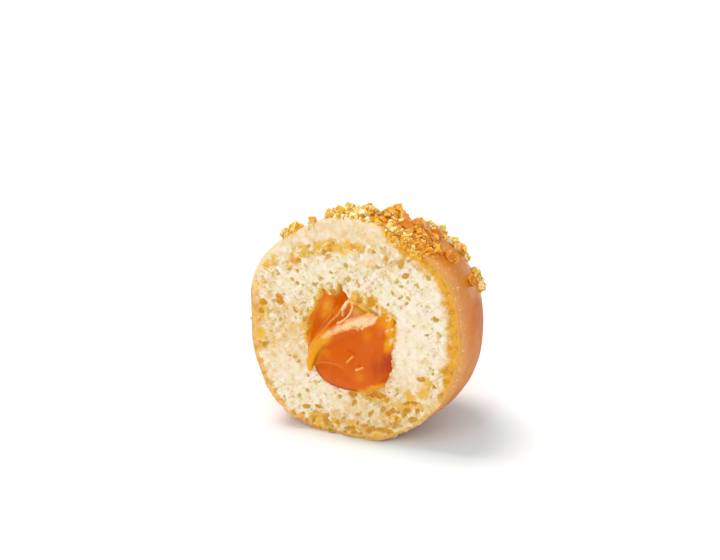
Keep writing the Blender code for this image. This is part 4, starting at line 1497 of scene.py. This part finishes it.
def make_sugar(settings, finish):
    """The coarse crystals where the solid has them, and the finer grains round them."""
    crystals = crystal_stands()
    stands = crystals + small_grains(settings, crystals)
    draw = random.Random(settings.seed + 1)
    kinds = [draw.randrange(CRYSTAL_KINDS) for _ in stands]
    tones = [crystal_tone(place, draw.random()) for place, _, _ in stands]
    shapes = shape_collection("crystal_shapes", CRYSTAL_KINDS, broken_crystal)
    piece = scatter("amber_sugar", stands, kinds, tones, shapes, finish, CRYSTAL_GROWTH)
    # A random tone for every facet; the palest ones are painted sparkle
    facets = np.random.default_rng(settings.seed + 3).random(len(piece.data.polygons))
    attribute = piece.data.attributes.new("facet", "FLOAT", "FACE")
    attribute.data.foreach_set("value", facets.astype(np.float32))
    return piece


def make_flakes(settings, finish):
    """Scraps of crumb that the knife dragged along the rim, most of them low down."""
    draw = random.Random(settings.seed + 2)
    rim = face_outline(360)
    stands = []
    while len(stands) < settings.flakes:
        step = draw.randrange(360)
        low = 0.5 - 0.5 * math.sin(math.radians(step))
        if draw.random() > 0.12 + 0.88 * low**2:
            continue
        size = draw.uniform(*FLAKE_LENGTHS)
        place = Vector(rim[step]) * (1 - draw.uniform(0.002, 0.07))
        place.y = -CUT_AHEAD + draw.uniform(-0.2, 0.3) * size
        turn = Euler([draw.uniform(0, math.pi) for _ in range(3)]).to_matrix()
        place.z += max(0.0, 0.4 * size - (LEANT @ place).z)
        stands.append((place, turn, Vector((size, size * draw.uniform(0.5, 1), size * 0.6))))
    kinds = [draw.randrange(FLAKE_KINDS) for _ in stands]
    tones = [draw.random() for _ in stands]
    shapes = shape_collection("flake_shapes", FLAKE_KINDS, ragged_flake)
    return scatter("crumb_flakes", stands, kinds, tones, shapes, finish)


def aimed(place, target, kind, name):
    """A camera's or light's object at a place, looking at a target."""
    made = bpy.data.objects.new(name, kind)
    bpy.context.scene.collection.objects.link(made)
    made.location = place
    made.rotation_euler = (Vector(target) - Vector(place)).to_track_quat("-Z", "Y").to_euler()
    return made


FLOOR_REACH = 0.9


def make_floor():
    """The white floor, a little cooler in the shadow so that its grey stays neutral."""
    sides = ((-1, -1), (1, -1), (1, 1), (-1, 1))
    corners = [(x * FLOOR_REACH, y * FLOOR_REACH, 0.0) for x, y in sides]
    floor = mesh_object("floor", corners, [(0, 1, 2, 3)], smooth=False)
    paint = Paint("white_floor")
    beside = {0: paint.place(), 1: (12.0, 2.0, 0.0)}
    far = paint.node("ShaderNodeVectorMath", {"operation": "DISTANCE"}, beside, 1)
    paint.lay(paint.mix(paint.noise(0.02, 2.0), (0.84, 0.97, 0.99), (0.85, 0.97, 1.0)))
    paint.lay((0.97, 0.97, 0.97), paint.within(far, 8.0, 22.0))
    floor.data.materials.append(paint.finish(Roughness=0.6, Specular_IOR_Level=0.2))


def light_rows(settings):
    """Name, right of, ahead of and above the object, size and power of each light."""
    return (
        ("key", -0.36, -0.44, 1.32, 0.80, settings.key),
        ("front", -0.30, 1.10, 0.60, 0.80, settings.front),
        ("side", 0.90, 0.20, 0.50, 0.50, settings.side),
        ("spark", -0.10, 0.40, 0.60, 0.05, settings.spark),
    )


def make_stage(settings):
    """The camera, the white floor and world, and the soft lights."""
    azimuth, elevation = settings.azimuth, settings.elevation
    right = Vector((math.cos(azimuth), math.sin(azimuth), 0.0))
    level = Vector((math.sin(azimuth), -math.cos(azimuth), 0.0))
    upright = Vector((0.0, 0.0, 1.0))
    towards = level * math.cos(elevation) + upright * math.sin(elevation)
    above = upright * math.cos(elevation) - level * math.sin(elevation)
    target = FORM_CENTRE + above * settings.above + right * settings.aside
    camera = bpy.data.cameras.new("camera")
    camera.lens = camera.sensor_width * settings.distance / settings.window
    camera.clip_start = 0.01
    place = target + towards * settings.distance
    bpy.context.scene.camera = aimed(place, target, camera, "camera")

    for name, aside, ahead, up, size, watts in light_rows(settings):
        light = bpy.data.lights.new(name, "AREA")
        light.shape = "DISK"
        light.size = size
        light.energy = watts
        place = FORM_CENTRE + right * aside + level * ahead + upright * up
        aimed(place, FORM_CENTRE, light, name)

    world = bpy.data.worlds.new("studio")
    world.use_nodes = True
    bpy.context.scene.world = world
    background = world.node_tree.nodes["Background"]
    background.inputs["Color"].default_value = (1.0, 1.0, 1.0, 1.0)
    background.inputs["Strength"].default_value = settings.sky
    bpy.context.scene.view_settings.view_transform = "Standard"
    make_floor()


class MakeCrumb(bpy.types.Operator):
    """Makes the porous crumb of the cut face"""

    bl_idname = "doughnut.make_crumb"
    bl_label = "Crumb"

    def execute(self, context):
        settings = context.scene.doughnut_crumb
        piece = make_crumb(settings)
        finish_piece(piece, crumb_material(settings), "crumb", "dough_half")
        return {"FINISHED"}


class MakeSkin(bpy.types.Operator):
    """Makes the glazed skin"""

    bl_idname = "doughnut.make_skin"
    bl_label = "Glazed skin"

    def execute(self, context):
        settings = context.scene.doughnut_skin
        finish_piece(make_skin(settings), skin_material(settings), "dough", "dough_half")
        return {"FINISHED"}


class MakeCaramel(bpy.types.Operator):
    """Makes the caramel filling"""

    bl_idname = "doughnut.make_caramel"
    bl_label = "Caramel"

    def execute(self, context):
        settings = context.scene.doughnut_caramel
        piece = make_caramel(settings)
        finish_piece(piece, caramel_material(settings), "caramel", "caramel_filling")
        return {"FINISHED"}


class MakeSugar(bpy.types.Operator):
    """Makes the sugar crystals on top"""

    bl_idname = "doughnut.make_sugar"
    bl_label = "Sugar"

    def execute(self, context):
        settings = context.scene.doughnut_sugar
        material = sugar_material(settings)
        finish_piece(make_sugar(settings, material), material, "sugar", "dough_half")
        return {"FINISHED"}


class MakeFlakes(bpy.types.Operator):
    """Makes the scraps of crumb along the rim"""

    bl_idname = "doughnut.make_flakes"
    bl_label = "Flakes"

    def execute(self, context):
        settings = context.scene.doughnut_crumb
        material = flake_material(settings)
        finish_piece(make_flakes(settings, material), material, "crumb")
        return {"FINISHED"}


class MakeStage(bpy.types.Operator):
    """Makes the camera, the floor and the lights"""

    bl_idname = "doughnut.make_stage"
    bl_label = "Stage"

    def execute(self, context):
        make_stage(context.scene.doughnut_stage)
        return {"FINISHED"}


class DoughnutPanel(bpy.types.Panel):
    """Lists the pieces and their settings"""

    bl_idname = "VIEW3D_PT_doughnut"
    bl_label = "Filled doughnut hole"
    bl_space_type = "VIEW_3D"
    bl_region_type = "UI"
    bl_category = "Doughnut"

    def draw(self, context):
        for name, operators in SECTIONS:
            box = self.layout.box()
            settings = getattr(context.scene, name)
            for label in type(settings).__annotations__:
                box.prop(settings, label)
            for operator in operators:
                box.operator(operator.bl_idname)


SECTIONS = (
    ("doughnut_crumb", (MakeCrumb, MakeFlakes)),
    ("doughnut_skin", (MakeSkin,)),
    ("doughnut_caramel", (MakeCaramel,)),
    ("doughnut_sugar", (MakeSugar,)),
    ("doughnut_stage", (MakeStage,)),
)
SETTINGS = {
    "doughnut_crumb": CrumbSettings,
    "doughnut_skin": SkinSettings,
    "doughnut_caramel": CaramelSettings,
    "doughnut_sugar": SugarSettings,
    "doughnut_stage": StageSettings,
}


def register():
    for name, settings in SETTINGS.items():
        bpy.utils.register_class(settings)
        setattr(bpy.types.Scene, name, PointerProperty(type=settings))
    for _, operators in SECTIONS:
        for operator in operators:
            bpy.utils.register_class(operator)
    bpy.utils.register_class(DoughnutPanel)


def unregister():
    bpy.utils.unregister_class(DoughnutPanel)
    for _, operators in reversed(SECTIONS):
        for operator in operators:
            bpy.utils.unregister_class(operator)
    for name, settings in SETTINGS.items():
        delattr(bpy.types.Scene, name)
        bpy.utils.unregister_class(settings)


def main():
    register()
    bpy.ops.doughnut.make_stage()
    bpy.ops.doughnut.make_crumb()
    bpy.ops.doughnut.make_skin()
    bpy.ops.doughnut.make_caramel()
    bpy.ops.doughnut.make_sugar()
    bpy.ops.doughnut.make_flakes()


if __name__ == "__main__":
    main()
